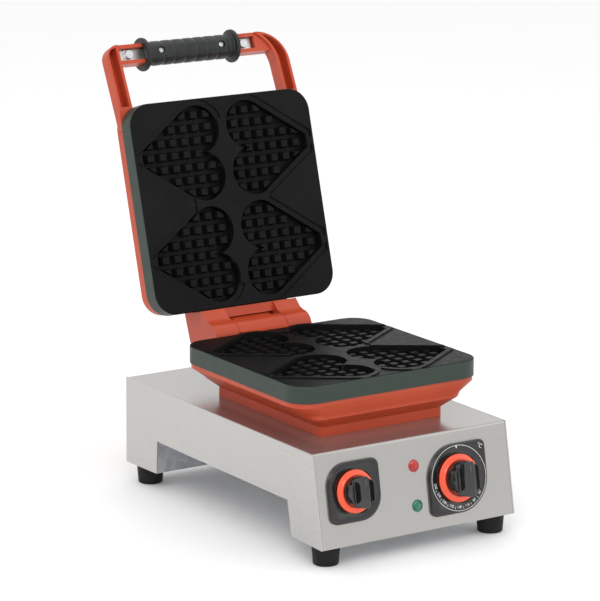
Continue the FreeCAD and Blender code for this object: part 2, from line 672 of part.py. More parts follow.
def lid_casting():
    half = PLATE / 2 - RIM_INSET
    front = PLATE_FRONT + RIM_INSET
    rear = PLATE_REAR - RIM_INSET
    z0 = UPPER_FACE_Z + PLATE_T
    z1 = CONTACT_Z + LID_BACK
    room = rounded_slab(-half + CAST_WALL, front + CAST_WALL, half - CAST_WALL, rear - CAST_WALL, 20.5,
                        z0 - 1, z1 - CAST_WALL)
    bosses = [cylinder(LID_BOSS_R, (x, y, z0), (x, y, CONTACT_Z + LID_BOSS_TOP)) for x, y in UPPER_STUDS]
    body = joined([lid_shell().cut(room)] + bosses)
    gland_y = PLATE_REAR - LID_GLAND[1]
    cuts = [cylinder(3.3, (x, y, z0 - 1), (x, y, z1 + 20)) for x, y in UPPER_STUDS]
    cuts.append(rounded_slab(-LID_HATCH, PLATE_MID - LID_HATCH, LID_HATCH, PLATE_MID + LID_HATCH, 8,
                             z0, z1 + 9))
    cuts.append(cylinder(GLAND_R + 0.2, (LID_GLAND[0], gland_y, z0), (LID_GLAND[0], gland_y, z1 + 9)))
    for x, y in COVER_SCREWS:
        cuts.append(cylinder(2.05, (x, y, z1 - CAST_WALL - 1), (x, y, z1 + 1)))
    return lid_pose(body.cut(cuts))


def lid_hinge():
    """Slab behind the lid's casting and its two lugs, which carry the pin."""
    rear = PLATE_REAR - RIM_INSET
    slab = box(-KNUCKLE_OUT, rear - 4, CONTACT_Z + 1.5,
               KNUCKLE_OUT, HINGE_Y - LID_END, CONTACT_Z + LID_BACK - 0.4)
    plate_room = box(-KNUCKLE_OUT - 1, PLATE_FRONT, CONTACT_Z,
                     KNUCKLE_OUT + 1, PLATE_REAR + 0.5, UPPER_FACE_Z + PLATE_T)
    bore = cylinder(PIN_R + PIN_FIT, (-60, HINGE_Y, HINGE_Z), (KNUCKLE_OUT + 1, HINGE_Y, HINGE_Z))
    body = joined([slab, lug(-1), lug(1)]).cut([plate_room, lid_shell(), bore])
    return lid_pose(body).cut([grub_tool(x, 3.05, 12) for x in (-50, 50)])


COVER_HALF = 76.0
COVER_T = 3.0
COVER_SCREWS = [(x, PLATE_MID + y) for x in (-70, 70) for y in (-70, 70)]


def lid_cover():
    z = CONTACT_Z + LID_BACK
    plate = rounded_slab(-COVER_HALF, PLATE_MID - COVER_HALF, COVER_HALF, PLATE_MID + COVER_HALF, 14,
                         z, z + COVER_T)
    rims = [e for e in plate.Edges
            if abs(e.CenterOfMass.z - z - COVER_T) < 0.01 and e.BoundBox.ZLength < 0.01]
    plate = plate.makeFillet(1.4, rims)
    return plate.cut([cylinder(2.3, (x, y, z - 1), (x, y, z + 9)) for x, y in COVER_SCREWS])


def lid_cover_screws():
    z = CONTACT_Z + LID_BACK + COVER_T
    screws = []
    for x, y in COVER_SCREWS:
        head = cone(4.0, 2.6, (x, y, z), (x, y, z + 2.4))
        screws.append(joined([head, cylinder(2.0, (x, y, z - 7.5), (x, y, z))]))
    return group(screws)


def upper_plate_bolts():
    z = CONTACT_Z + LID_BOSS_TOP
    length = LID_BOSS_TOP - CLOSED_GAP - PLATE_T + 11
    return group([bolt((x, y, z), (0, 0, -1), length, 3.0, 10.0, 4.0) for x, y in UPPER_STUDS])


def hinge_pin():
    return cylinder(PIN_R, (-59.5, HINGE_Y, HINGE_Z), (KNUCKLE_OUT - 1, HINGE_Y, HINGE_Z))


def hinge_grub_screws():
    start = HINGE_Y - KNUCKLE_R + 0.8
    screws = []
    for x in (-50, 50):
        body = cylinder(3.0, (x, start, HINGE_Z), (x, HINGE_Y - PIN_R - 0.05, HINGE_Z))
        socket = hex_head(3.0, 3.0, (x, start - 0.5, HINGE_Z), (0, 1, 0))
        screws.append(body.cut(socket))
    return group(screws)


# ---- Handle ----

def rounded_region(x0, y0, x1, y1, radius, n0, n1):
    """Slab in the handle's axes with one rounded corner, at its largest x and y."""
    slab = box(x0, y0, n0, x1, y1, n1)
    corner = [e for e in slab.Edges
              if abs(e.CenterOfMass.x - x1) < 0.01 and abs(e.CenterOfMass.y - y1) < 0.01]
    return slab.makeFillet(radius, corner)


STRAP_MID = ARM_TOP - STUB_H / 2
STRAP_BACK = ARM_DEPTH - ARM_BACK
STRAP_ENDS = (-104.0, 80.0)
STRAP_BOLTS = (-90.0, 68.0)


def arm_hollow(inset, right, n0, n1):
    """Space on the inner side of an arm's upright, up to the stub or round the bend."""
    inner = ARM_OUT - ARM_W + inset
    if right:
        top = ARM_TOP + BEND_INNER - BEND_RIGHT + inset
        return rounded_region(0, -60, inner, top, BEND_INNER + inset, n0, n1)
    return box(0, -60, n0, inner, 200, n1)


def arm_upright(right):
    """The arm's outline at its full depth, with its outer rear edge rounded."""
    bend = BEND_RIGHT if right else BEND_LEFT
    end = BEND_END if right else ARM_OUT - ARM_W
    solid = rounded_region(end - 10, -ARM_SINK, ARM_OUT, ARM_TOP, bend, 0, ARM_DEPTH)
    back = [e for e in solid.Edges if abs(e.CenterOfMass.z - ARM_DEPTH) < 0.01 and e.BoundBox.ZLength < 0.01
            and (e.BoundBox.XMin > ARM_OUT - bend - 1 or e.BoundBox.YMin > ARM_TOP - 0.1)]
    solid = solid.makeFillet(ARM_ROUND, back)
    keep = box(end, -60, -1, 200, 200, 200)
    return solid.common(keep).cut(arm_hollow(0, right, -1, 100))


def arm_groove(right):
    bend = BEND_RIGHT if right else BEND_LEFT
    groove = rounded_region(60, 2, ARM_OUT - ARM_WALL, ARM_TOP - ARM_WALL, bend - ARM_WALL - 3,
                            -1, ARM_DEPTH - ARM_BACK)
    end = BEND_END if right else ARM_OUT - ARM_W + ARM_WALL
    return groove.common(box(end, 0, -1, 200, 200, 100)).cut(arm_hollow(ARM_WALL, right, -2, 100))


def arm_stub(right):
    """Channel between the upright and the grip, with its end inside the bend."""
    start = GRIP_TO if right else -GRIP_FROM
    end = ARM_OUT - ARM_W + 1
    stub = box(start, ARM_TOP - STUB_H, STUB_SET, end, ARM_TOP, ARM_DEPTH)
    back = [e for e in stub.Edges
            if abs(e.CenterOfMass.z - ARM_DEPTH) < 0.01 and abs(e.CenterOfMass.y - ARM_TOP) < 0.01]
    stub = stub.makeFillet(ARM_ROUND, back)
    if right:
        stub = stub.common(rounded_region(start, 0, ARM_OUT, ARM_TOP, BEND_RIGHT, 0, ARM_DEPTH))
    pocket_end = BEND_END - 2 if right else ARM_OUT - ARM_W - 0.5
    pocket = box(start - 1, STRAP_MID - STRAP_W / 2 - 0.3, -1,
                 pocket_end, STRAP_MID + STRAP_W / 2 + 0.3, STRAP_BACK)
    return stub.cut(pocket)


def handle_arm(right):
    """Cast channel, open to the front, with a stub that carries the strap."""
    whole = joined([arm_upright(right), arm_stub(right)])
    bolt_x = STRAP_BOLTS[1] if right else -STRAP_BOLTS[0]
    hole = cylinder(3.3, (bolt_x, STRAP_MID, -1), (bolt_x, STRAP_MID, ARM_DEPTH + 1))
    whole = whole.cut([arm_groove(right), hole])
    if not right:
        whole = whole.mirror(V(0, 0, 0), X_AXIS)
    plate_room = box(-200, PLATE_FRONT, 0, 200, PLATE_REAR, UPPER_FACE_Z + PLATE_T)
    return lid_pose(on_closed_lid(whole).cut([lid_shell(), plate_room]))


def strap():
    bar = box(STRAP_ENDS[0], STRAP_MID - STRAP_W / 2, STRAP_BACK - STRAP_T, STRAP_ENDS[1],
              STRAP_MID + STRAP_W / 2, STRAP_BACK)
    holes = [cylinder(3.1, (x, STRAP_MID, -5), (x, STRAP_MID, 30)) for x in STRAP_BOLTS]
    holes += [cylinder(2.4, (x, STRAP_MID, -5), (x, STRAP_MID, 30))
              for x in (-GRIP_SCREW_X - 8, GRIP_SCREW_X - 8)]
    return bar.cut(holes)


def strap_bolts():
    """Round-headed bolts, each on its own square plate."""
    bolts = []
    for x in STRAP_BOLTS:
        front = STRAP_BACK - STRAP_T
        plate = box(x - 6.5, STRAP_MID - 6.5, front - 1.2, x + 6.5, STRAP_MID + 6.5, front)
        head = cylinder(5.2, (x, STRAP_MID, front - 5), (x, STRAP_MID, front - 1.2))
        shank = cylinder(3.0, (x, STRAP_MID, front - 1.2), (x, STRAP_MID, ARM_DEPTH + 7))
        bolts.append(joined([plate, head, shank]))
    return group(bolts)


def strap_nuts():
    return group([hex_head(10.0, 5.0, (x, STRAP_MID, ARM_DEPTH), (0, 0, 1)).cut(
        cylinder(3.02, (x, STRAP_MID, ARM_DEPTH - 1), (x, STRAP_MID, ARM_DEPTH + 9))) for x in STRAP_BOLTS])


def grip_half(front):
    axis_n = STRAP_BACK - STRAP_T / 2
    body = cylinder(GRIP_R, (GRIP_FROM, STRAP_MID, axis_n), (GRIP_TO, STRAP_MID, axis_n))
    flanges = [cylinder(GRIP_FLANGE_R, (x, STRAP_MID, axis_n), (x + GRIP_FLANGE_T, STRAP_MID, axis_n))
               for x in (GRIP_FROM, GRIP_TO - GRIP_FLANGE_T)]
    whole = joined([body] + flanges)
    slot = box(GRIP_FROM - 1, STRAP_MID - STRAP_W / 2 - 0.2, STRAP_BACK - STRAP_T - 0.1, GRIP_TO + 1,
               STRAP_MID + STRAP_W / 2 + 0.2, STRAP_BACK + 0.1)
    cuts = [slot]
    for x in (-GRIP_SCREW_X - 8, GRIP_SCREW_X - 8):
        cuts.append(cylinder(2.3, (x, STRAP_MID, -40), (x, STRAP_MID, axis_n + 11)))
        cuts.append(cylinder(4.2, (x, STRAP_MID, -40), (x, STRAP_MID, axis_n - GRIP_R + 5)))
    keep = box(-200, -200, axis_n, 200, 200, 200)
    if front:
        keep = box(-200, -200, -200, 200, 200, axis_n)
    return whole.common(keep).cut(cuts)


def grip_screws():
    axis_n = STRAP_BACK - STRAP_T / 2
    screws = []
    for x in (-GRIP_SCREW_X - 8, GRIP_SCREW_X - 8):
        seat = axis_n - GRIP_R + 5
        head = cylinder(3.9, (x, STRAP_MID, seat - 3), (x, STRAP_MID, seat))
        screws.append(joined([head, cylinder(2.2, (x, STRAP_MID, seat), (x, STRAP_MID, axis_n + 10))]))
    return group(screws)


def on_closed_lid(shape):
    """From the handle's own axes (across, up, back) to its place on the closed lid."""
    turned = shape.mirror(V(0, 0, 0), V(0, 1, 0))
    turned.rotate(V(0, 0, 0), X_AXIS, -ARM_LEAN)
    turned.translate(V(0, PLATE_FRONT + RIM_INSET, CONTACT_Z + PLATE_T + 0.4))
    return turned


def on_arm(shape):
    return lid_pose(on_closed_lid(shape))


# ---- Controls ----

def leaf_bezel(half, big_r, small_r):
    """Square plate with two opposite corners widely rounded."""
    corners = [(-half, -half, small_r, 180), (half, -half, big_r, 270), (half, half, small_r, 0),
               (-half, half, big_r, 90)]
    points = []
    for x, y, radius, start in corners:
        cx = x + (radius if x < 0 else -radius)
        cy = y + (radius if y < 0 else -radius)
        points.append([V(cx + radius * math.cos(math.radians(start + turn)),
                         cy + radius * math.sin(math.radians(start + turn)), 0) for turn in (0, 45, 90)])
    edges = []
    for i, arc in enumerate(points):
        edges.append(Part.Arc(*arc).toShape())
        nxt = points[(i + 1) % 4][0]
        if arc[2].distanceToPoint(nxt) > 0.01:
            edges.append(Part.makeLine(arc[2], nxt))
    return Part.Face(Part.Wire(edges)).extrude(V(0, 0, BEZEL_T))


def bezel(half, big_r, small_r, ring_r):
    plate = leaf_bezel(half, big_r, small_r)
    rims = [e for e in plate.Edges if abs(e.CenterOfMass.z - BEZEL_T) < 0.01 and e.BoundBox.ZLength < 0.01]
    plate = plate.makeChamfer(1.2, rims)
    plate = plate.cut([cylinder(ring_r + 0.8, (0, 0, 2.5), (0, 0, 9)), cylinder(5.5, (0, 0, -1), (0, 0, 9))])
    plate.translate(V(0, 0, 0.05))
    return plate


def knob_ring(ring_r, knob_r):
    ring = cone(ring_r, ring_r - 2.0, (0, 0, 3.2), (0, 0, 8.5))
    return ring.cut(cylinder(knob_r, (0, 0, 0), (0, 0, 20)))


def knob(knob_r, height):
    """Round knob with two finger grooves that leave a grip bar across its front."""
    body = cone(knob_r, knob_r - 0.8, (0, 0, 3.2), (0, 0, height))
    rims = [e for e in body.Edges if abs(e.CenterOfMass.z - height) < 0.01 and e.BoundBox.ZLength < 0.01]
    body = body.makeFillet(1.5, rims)
    groove_r = knob_r * 0.40
    offset = knob_r * 0.58
    cuts = [cylinder(groove_r, (x, -40, height + 1), (x, 40, height + 1)) for x in (-offset, offset)]
    cuts.append(cylinder(SHAFT_R, (0, 0, 0), (0, 0, height - 6)))
    return body.cut(cuts)


def control_shaft(height):
    return cylinder(SHAFT_R, (0, 0, -24), (0, 0, height - 7))


def control_body(wide, high, deep, neck_r):
    """Switch or thermostat behind the panel, with the threaded neck that its shaft turns in."""
    case = box(-wide / 2, -high / 2, -deep - 6, wide / 2, high / 2, -6)
    neck = cylinder(neck_r, (0, 0, -6), (0, 0, 2))
    bore = cylinder(SHAFT_R + SHAFT_RUN, (0, 0, -26), (0, 0, 9))
    spacer = cylinder(neck_r + 3, (0, 0, -6), (0, 0, -SHEET - 0.1))
    return joined([case, spacer, neck]).cut(bore)


def lamp_lens():
    dome = Part.makeSphere(9.0, V(0, 0, -3.6)).common(cylinder(LAMP_R - 0.8, (0, 0, 1), (0, 0, 9)))
    collar = cylinder(LAMP_R, (0, 0, 0.05), (0, 0, 1.6))
    return joined([dome, collar])


def lamp_body():
    """Lamp behind its lens, with the nut that holds it to the panel."""
    return joined([cylinder(5.0, (0, 0, -28), (0, 0, 0.05)),
                   hex_head(16.0, 3.0, (0, 0, -SHEET - 3.1), (0, 0, 1))])


def gland(x, y, z, direction, wall):
    """Cable gland: flange and dome outside, thread through the wall and lock nut inside."""
    parts = [cylinder(GLAND_R, (0, 0, -wall - 7), (0, 0, 0.1)),
             hex_head(20.0, 4.0, (0, 0, 0.05), (0, 0, 1)),
             cone(9.0, 7.4, (0, 0, 4.05), (0, 0, 12)),
             hex_head(21.0, 4.0, (0, 0, -wall - 4.1), (0, 0, 1))]
    body = joined(parts).cut(cylinder(4.0, (0, 0, -60), (0, 0, 60)))
    body.Placement = FreeCAD.Placement(V(x, y, z), FreeCAD.Rotation(Z_AXIS, V(*direction)))
    return body


def thermostat_bulb():
    """Sensing bulb under the lower plate and its capillary down to the thermostat."""
    z = CONTACT_Z - PLATE_T - 3.2
    bulb = cylinder(3.0, (30, PLATE_MID - 60, z), (30, PLATE_MID + 26, z))
    tube = rod([(30, PLATE_MID + 26, z), (30, PLATE_MID + 44, z), (30, PLATE_MID + 44, 112),
                (56, PLATE_MID + 44, 112), (56, FRONT_Y + 52, 112), (56, FRONT_Y + 52, 75),
                (56, FRONT_Y + 23.6, 75)], 1.0)
    return joined([bulb, tube])


def terminal_block():
    y = FRONT_Y + 345
    body = box(-30, y - 12, 80, 30, y + 12, 98)
    cuts = [cylinder(3.2, (-22.5 + 15 * i, y - 6, 84), (-22.5 + 15 * i, y - 6, 99)) for i in range(4)]
    return body.cut(cuts)


def terminal_shelf():
    y = FRONT_Y + 345
    path = [(FRONT_Y + BASE_L - SHEET - 0.1, 66), (FRONT_Y + BASE_L - SHEET - 0.1, 80), (y - 14, 80)]
    return folded(path[::-1], -SHEET, -36, 36)


def earth_stud():
    y = FRONT_Y + BASE_L
    stud = cylinder(3.0, (20, y - 22, 44), (20, y - 0.4, 44))
    nut = hex_head(10.0, 5.0, (20, y - 5.4, 44), (0, 1, 0))
    return joined([stud, nut])


# ---- Build and write every node ----

def build():
    node("base_wrap", base_wrap())
    node("side_panel_left", side_panel(-1))
    node("side_panel_right", side_panel(1))
    node("front_cross_panel", cross_panel(True))
    node("rear_cross_panel", cross_panel(False))
    node("belly_cover", belly_cover())
    node("belly_cover_screws", belly_screws())
    feet = {}
    for end, y in (("front", FOOT_FRONT), ("rear", FOOT_REAR)):
        for side, x in (("left", -FOOT_X), ("right", FOOT_X)):
            feet["foot_%s_%s" % (end, side)] = (x, FRONT_Y + y)
    for name, (x, y) in feet.items():
        node(name, foot(x, y))
    node("foot_screws", foot_screws(feet.values()))

    mould = heart_mould()
    node("lower_plate", lower_plate(mould))
    node("lower_casting", lower_casting())
    node("hinge_bracket", hinge_bracket())
    node("casting_bolts", casting_bolts())
    node("lower_plate_bolts", lower_plate_bolts())
    node("lower_heater", lower_heater())
    node("lower_heat_shield", mat(159.0, 160.0, LOWER_STUDS, 9.5))
    node("lower_insulation", mat(143.0, 158.5, LOWER_STUDS, 9.5))

    back = UPPER_FACE_Z + PLATE_T
    node("upper_plate", lid_pose(upper_plate(mould)))
    node("lid_casting", lid_casting())
    node("lid_hinge", lid_hinge())
    node("lid_cover", lid_pose(lid_cover()))
    node("lid_cover_screws", lid_pose(lid_cover_screws()))
    node("upper_plate_bolts", lid_pose(upper_plate_bolts()))
    node("upper_heater", lid_pose(upper_heater()))
    node("upper_heat_shield", lid_pose(mat(back + 8.3, back + 9.1, [], 0)))
    node("upper_insulation", lid_pose(mat(back + 9.2, back + 12.4, [], 0)))
    node("hinge_pin", hinge_pin())
    node("hinge_grub_screws", hinge_grub_screws())
    node("handle_arm_left", handle_arm(False))
    node("handle_arm_right", handle_arm(True))
    node("handle_strap", on_arm(strap()))
    node("handle_strap_bolts", on_arm(strap_bolts()))
    node("handle_strap_nuts", on_arm(strap_nuts()))
    node("grip_front", on_arm(grip_half(True)))
    node("grip_rear", on_arm(grip_half(False)))
    node("grip_screws", on_arm(grip_screws()))

    node("thermostat_bezel", panel_pose(bezel(39.0, 38.9, 7.0, 27.0), DIAL_AT))
    node("thermostat_knob_ring", panel_pose(knob_ring(27.0, 20.0), DIAL_AT))
    node("thermostat_knob", panel_pose(knob(20.0, 29.0), DIAL_AT))
    node("thermostat_shaft", panel_pose(control_shaft(29.0), DIAL_AT))
    node("thermostat", panel_pose(control_body(44, 36, 26, 5.0), DIAL_AT))
    node("thermostat_bulb", thermostat_bulb())
    node("switch_bezel", panel_pose(bezel(33.5, 27.0, 9.0, 24.0), SWITCH_AT))
    node("switch_knob_ring", panel_pose(knob_ring(24.0, 17.5), SWITCH_AT))
    node("switch_knob", panel_pose(knob(17.5, 27.0), SWITCH_AT))
    node("switch_shaft", panel_pose(control_shaft(27.0), SWITCH_AT))
    node("rotary_switch", panel_pose(control_body(38, 38, 34, 5.0), SWITCH_AT))
    for colour, at in (("red", RED_LAMP_AT), ("green", GREEN_LAMP_AT)):
        node("%s_lamp_lens" % colour, panel_pose(lamp_lens(), at))
    node("lamp_bodies", group([panel_pose(lamp_body(), at) for at in (RED_LAMP_AT, GREEN_LAMP_AT)]))

    rear = FRONT_Y + BASE_L
    node("mains_gland", gland(MAINS_INLET[0], rear + 0.9, MAINS_INLET[1], (0, 1, 0), SHEET + 0.2))
    node("lid_supply_gland", gland(LID_OUTLET[0], rear + 0.6, LID_OUTLET[1], (0, 1, 0), SHEET + 0.2))
    lid_z = CONTACT_Z + LID_BACK
    node("lid_gland", lid_pose(gland(LID_GLAND[0], PLATE_REAR - LID_GLAND[1], lid_z, (0, 0, 1), CAST_WALL)))
    node("terminal_block", terminal_block())
    node("terminal_shelf", terminal_shelf())
    node("earth_stud", earth_stud())


build()
whole_box = FreeCAD.BoundBox()
for name, shape in NODES.items():
    shape.exportStep("parts/%s.step" % name)
    whole_box.add(shape.BoundBox)
    print(name, "solids", len(shape.Solids), "valid", shape.isValid(), "volume %.0f" % shape.Volume)
print(len(NODES), "nodes, box", whole_box)
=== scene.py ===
import json
import math

import bmesh
import bpy
from mathutils import Matrix, Vector


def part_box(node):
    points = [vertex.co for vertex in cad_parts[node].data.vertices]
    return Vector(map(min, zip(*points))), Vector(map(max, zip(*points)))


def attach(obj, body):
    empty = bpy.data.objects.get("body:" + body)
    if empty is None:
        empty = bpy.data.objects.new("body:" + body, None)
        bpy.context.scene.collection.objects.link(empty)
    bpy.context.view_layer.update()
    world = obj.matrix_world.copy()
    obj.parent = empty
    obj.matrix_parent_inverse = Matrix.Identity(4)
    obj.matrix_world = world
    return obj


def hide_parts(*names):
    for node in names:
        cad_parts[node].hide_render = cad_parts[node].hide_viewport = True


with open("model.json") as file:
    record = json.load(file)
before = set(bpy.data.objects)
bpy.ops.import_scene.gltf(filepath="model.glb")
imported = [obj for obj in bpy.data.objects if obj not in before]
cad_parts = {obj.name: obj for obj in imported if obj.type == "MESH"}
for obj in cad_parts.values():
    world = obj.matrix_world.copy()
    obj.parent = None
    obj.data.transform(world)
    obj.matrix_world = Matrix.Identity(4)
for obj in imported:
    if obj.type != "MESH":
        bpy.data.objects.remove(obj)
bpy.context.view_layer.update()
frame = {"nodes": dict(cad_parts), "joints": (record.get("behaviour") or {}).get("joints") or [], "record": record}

# A counter-top waffle maker on a pale floor. Metres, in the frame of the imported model.

MM = 0.001
RECORD = frame["record"]
SLOT_OF = {part["node"]: part["material_slot"] for part in RECORD["subparts"]}
JOINTS = {joint["name"]: joint for joint in frame["joints"]}

# ---- Lid and handle ----
LID_OPEN = math.radians(105.6)
LID_LEAN = LID_OPEN - math.radians(90.0)    # the open lid leans back from upright
ARM_LEAN = math.radians(10.0)               # and its handle leans back from the lid

# ---- Hand grip ----
GRIP_FROM = -72.0 * MM           # its ends, across the machine
GRIP_TO = 56.0 * MM
GRIP_R = 14.6 * MM
GRIP_BORE_R = 11.0 * MM          # opening in each end
GRIP_FLANGE_R = 19.9 * MM
GRIP_FLANGE_T = 5.0 * MM
GRIP_EDGE_R = 1.6 * MM           # rounding of the flange
GRIP_NECK_R = 2.0 * MM           # fillet from the flange to the barrel
GRIP_BARREL_GAP = 2.2 * MM       # from the flange to the start of the barrel, past the fillet
GRIP_STEPS = 150
GRIP_GROOVE_PITCH = 14.8 * MM
GRIP_GROOVE_DEPTH = 0.9 * MM
GRIP_GROOVE_WIDTH = 0.13         # as a share of the pitch
GRIP_GROOVED = 3.6               # pitches with grooves, to each side of the middle
PARTING_HALF = 0.35 * MM         # half width of the line between the two halves
PARTING_SINK = 0.985             # the line lies this share of the radius from the axis
POCKET_R = 4.2 * MM              # screw pockets
POCKET_DEPTH = 4.6 * MM
POCKET_REACH = 22.0 * MM         # the tool starts this far in front of the axis
GRIP_SCREWS = (-49.5 * MM, 33.5 * MM)
GRIP_SCREW_R = 3.9 * MM
GRIP_SCREW_T = 2.6 * MM
GRIP_SCREW_SEAT = 4.4 * MM       # depth of the head's seat in the pocket
HEAD_FLANK = 0.35                # straight part of a screw head, as a share of its height
HEAD_DOME = 0.65                 # and its dome
RECESS_LONG = 1.15               # cross recess, as shares of the head's radius and height
RECESS_WIDE = 0.26
RECESS_DEEP = 1.1
RECESS_TURN = 20                 # degrees

# ---- Baking plates ----
PLATE_EDGE_R = 0.75 * MM
PLATE_SIDE_TILT = 0.6            # a side face leans less than this towards the plate's normal
PLATE_EDGE_FROM = 122.0 * MM     # from the middle, along and across
PLATE_CORNER_FROM = 160.0 * MM   # and at the rounded corners

# ---- Rib on the lid's hinge ----
RIB_HALF = 33.0                  # to each side of the middle, in millimetres
# Section as (y, z) in millimetres from the hinge's axis, with the lid closed.
RIB_SECTION = ((-21.5, 40.0), (-21.5, 46.5), (-16.5, 45.5), (-14.5, 44.0), (-14.5, 42.0), (-16.5, 40.6))
RIB_EDGE_R = 0.6 * MM

# ---- Dials: half the bezel, its wide and tight corners, radii of ring and knob, height of the knob ----
DIAL_SIZE = {
    "bezel": 39.0 * MM, "big": 38.5 * MM, "small": 7.0 * MM,
    "ring": 27.0 * MM, "knob": 20.0 * MM, "height": 29.0 * MM,
}
SWITCH_SIZE = {
    "bezel": 33.5 * MM, "big": 27.0 * MM, "small": 9.0 * MM,
    "ring": 24.0 * MM, "knob": 17.5 * MM, "height": 27.0 * MM,
}
BEZEL_T = 4.5 * MM
BEZEL_LIFT = 0.05 * MM           # gap to the panel
BEZEL_RIM_R = 1.6 * MM
BEZEL_FACE_FROM = 3.2 * MM       # the flat face starts this far in from the rim
BEZEL_TIGHTEST = 1.0 * MM        # smallest corner of an inset outline
DISH_GAP = 1.2 * MM              # from the ring to the wall of the dish round it
DISH_FLOOR = 2.6 * MM            # height of the floor of the dish
DISH_HOLE_R = 6.0 * MM           # hole for the shaft
RING_GAP = 0.1 * MM              # between the ring and the knob
RING_FOOT = 3.2 * MM             # heights over the panel: underside,
RING_EDGE_Z = 4.4 * MM           # middle of the rounded outer edge,
RING_BROW = 7.4 * MM             # end of the slope,
RING_LIP = 8.0 * MM              # inner edge
RING_TOP = 8.4 * MM              # and top
RING_EDGE_R = 1.6 * MM
KNOB_BAR = 0.20                  # half width of the grip bar, as a share of the knob's radius
KNOB_DROP = 9.5 * MM             # from the bar down to the bottom of the dishes
KNOB_SHOULDER = 5.5 * MM         # and up again to the shoulder at the rim
KNOB_DISH_SPAN = 0.42            # the way from bar to rim: the dish falls over this share of it,
KNOB_RISE_FROM = 0.40            # the shoulder starts here
KNOB_RISE_SPAN = 0.45            # and rises over this share
KNOB_CROWN = 0.5 * MM            # fall of the bar from the middle to the rim
KNOB_TAPER = 0.98                # radius at the front, as a share of the radius at the back
KNOB_EDGE_SHARE = 0.03           # width of the front edge, as a share of the radius
KNOB_EDGE_DROP = 0.8 * MM        # and its height
KNOB_WALL = (7.0 * MM, 3.2 * MM)  # heights of the two lowest loops of the wall
KNOB_TURNS = 160
KNOB_RINGS = 34
POINTER_WIDTH = 0.8 * MM         # line on the grip bar
POINTER_LENGTH = 0.62            # as shares of the knob's radius
POINTER_AT = 0.5
POINTER_SINK = 0.15 * MM

# ---- Print on the thermostat's bezel ----
PRINT_LIFT = 0.02 * MM           # over the face of the bezel
PRINT_T = 0.05 * MM
BAR_T = 0.06 * MM
TEXT_T = 0.03 * MM
SCALE_R = 36.6 * MM
SCALE_LINE_HALF = 0.25 * MM
SCALE_STEPS = 8                  # figures from the lower left round to the lower right
SCALE_FIRST = 50
SCALE_STEP = 30
SCALE_FROM = math.radians(188)
SCALE_TO = math.radians(322)
FIGURE_R = 32.6 * MM
FIGURE_SIZE = 4.2 * MM
TICK_R = 33.6 * MM
TICK_WIDTH = 0.45 * MM
TICK_LENGTH = 2.6 * MM
MARK_HALF = 1.4 * MM
MARK_LENGTH = 3.0 * MM
UNIT_AT = (31.5 * MM, 32.0 * MM)
UNIT_SIZE = 6.4 * MM
UNIT_TURN = math.radians(-35)

# ---- Pilot lamps, measured from the middle of the lens ----
LAMP_R = 7.0 * MM
LAMP_WALL = 1.2 * MM
LAMP_BACK = -2.8 * MM
JEWEL_FACETS = 10
JEWEL_ROWS = ((6.1, -2.6), (6.1, -0.9), (5.0, 0.6), (3.1, 1.9))   # radius and height in millimetres
JEWEL_TIP = 2.5 * MM

# ---- Shapes that are carried over, with the radius of their edges in millimetres ----
ROUNDED = {
    "base_wrap": 0.35, "side_panel_left": 0.35, "side_panel_right": 0.35,
    "front_cross_panel": 0.3, "rear_cross_panel": 0.3, "belly_cover": 0.3,
    "foot_front_left": 1.6, "foot_front_right": 1.6, "foot_rear_left": 1.6, "foot_rear_right": 1.6,
    "lower_casting": 1.0, "hinge_bracket": 1.0, "lid_casting": 1.0, "lid_hinge": 1.0,
    "handle_arm_left": 1.1, "handle_arm_right": 1.1, "lid_cover": 0.4,
    "handle_strap": 0.5, "handle_strap_bolts": 0.7, "handle_strap_nuts": 0.4,
    "hinge_pin": 0.6, "upper_plate_bolts": 0.5,
    "mains_gland": 0.6, "lid_supply_gland": 0.6, "lid_gland": 0.6,
    "terminal_block": 0.5,
}
WELD = 2e-6                      # vertices closer than this are one
FLAT_ANGLE = math.radians(0.6)   # faces within this angle are one flat
LARGE_FACES_LEAD = 100           # weight of large faces in the shading of their corners
ON_AXIS = 1e-7                   # a smaller radius is a point on the axis

# ---- Camera, floor and light ----
CAMERA_AZIMUTH = math.radians(-33.07)
CAMERA_ELEVATION = math.radians(13.24)
CAMERA_DISTANCE = 3.7
CAMERA_TARGET = Vector((0.0, 5.5 * MM, 236.6 * MM))
CAMERA_LENS = 192.84
CAMERA_SENSOR = 36.0
FLOOR_HALF = 9.0
FLOOR_DROP = 0.1 * MM            # the floor lies this far under the feet
LIGHT_AIM = (0, 0, 0.2)
LIGHTS = (                       # name, place, size, power
    ("key", (-1.6, -1.9, 2.2), (1.6, 1.6), 22),
    ("fill", (2.2, -1.8, 1.4), (2.0, 2.0), 7),
    ("top", (0.2, 0.4, 2.8), (2.4, 2.4), 12),
)

# ---- Sockets of the Mix node in its colour mode ----
MIX_FIRST = 6
MIX_SECOND = 7
MIX_RESULT = 2


# ---- Materials ----

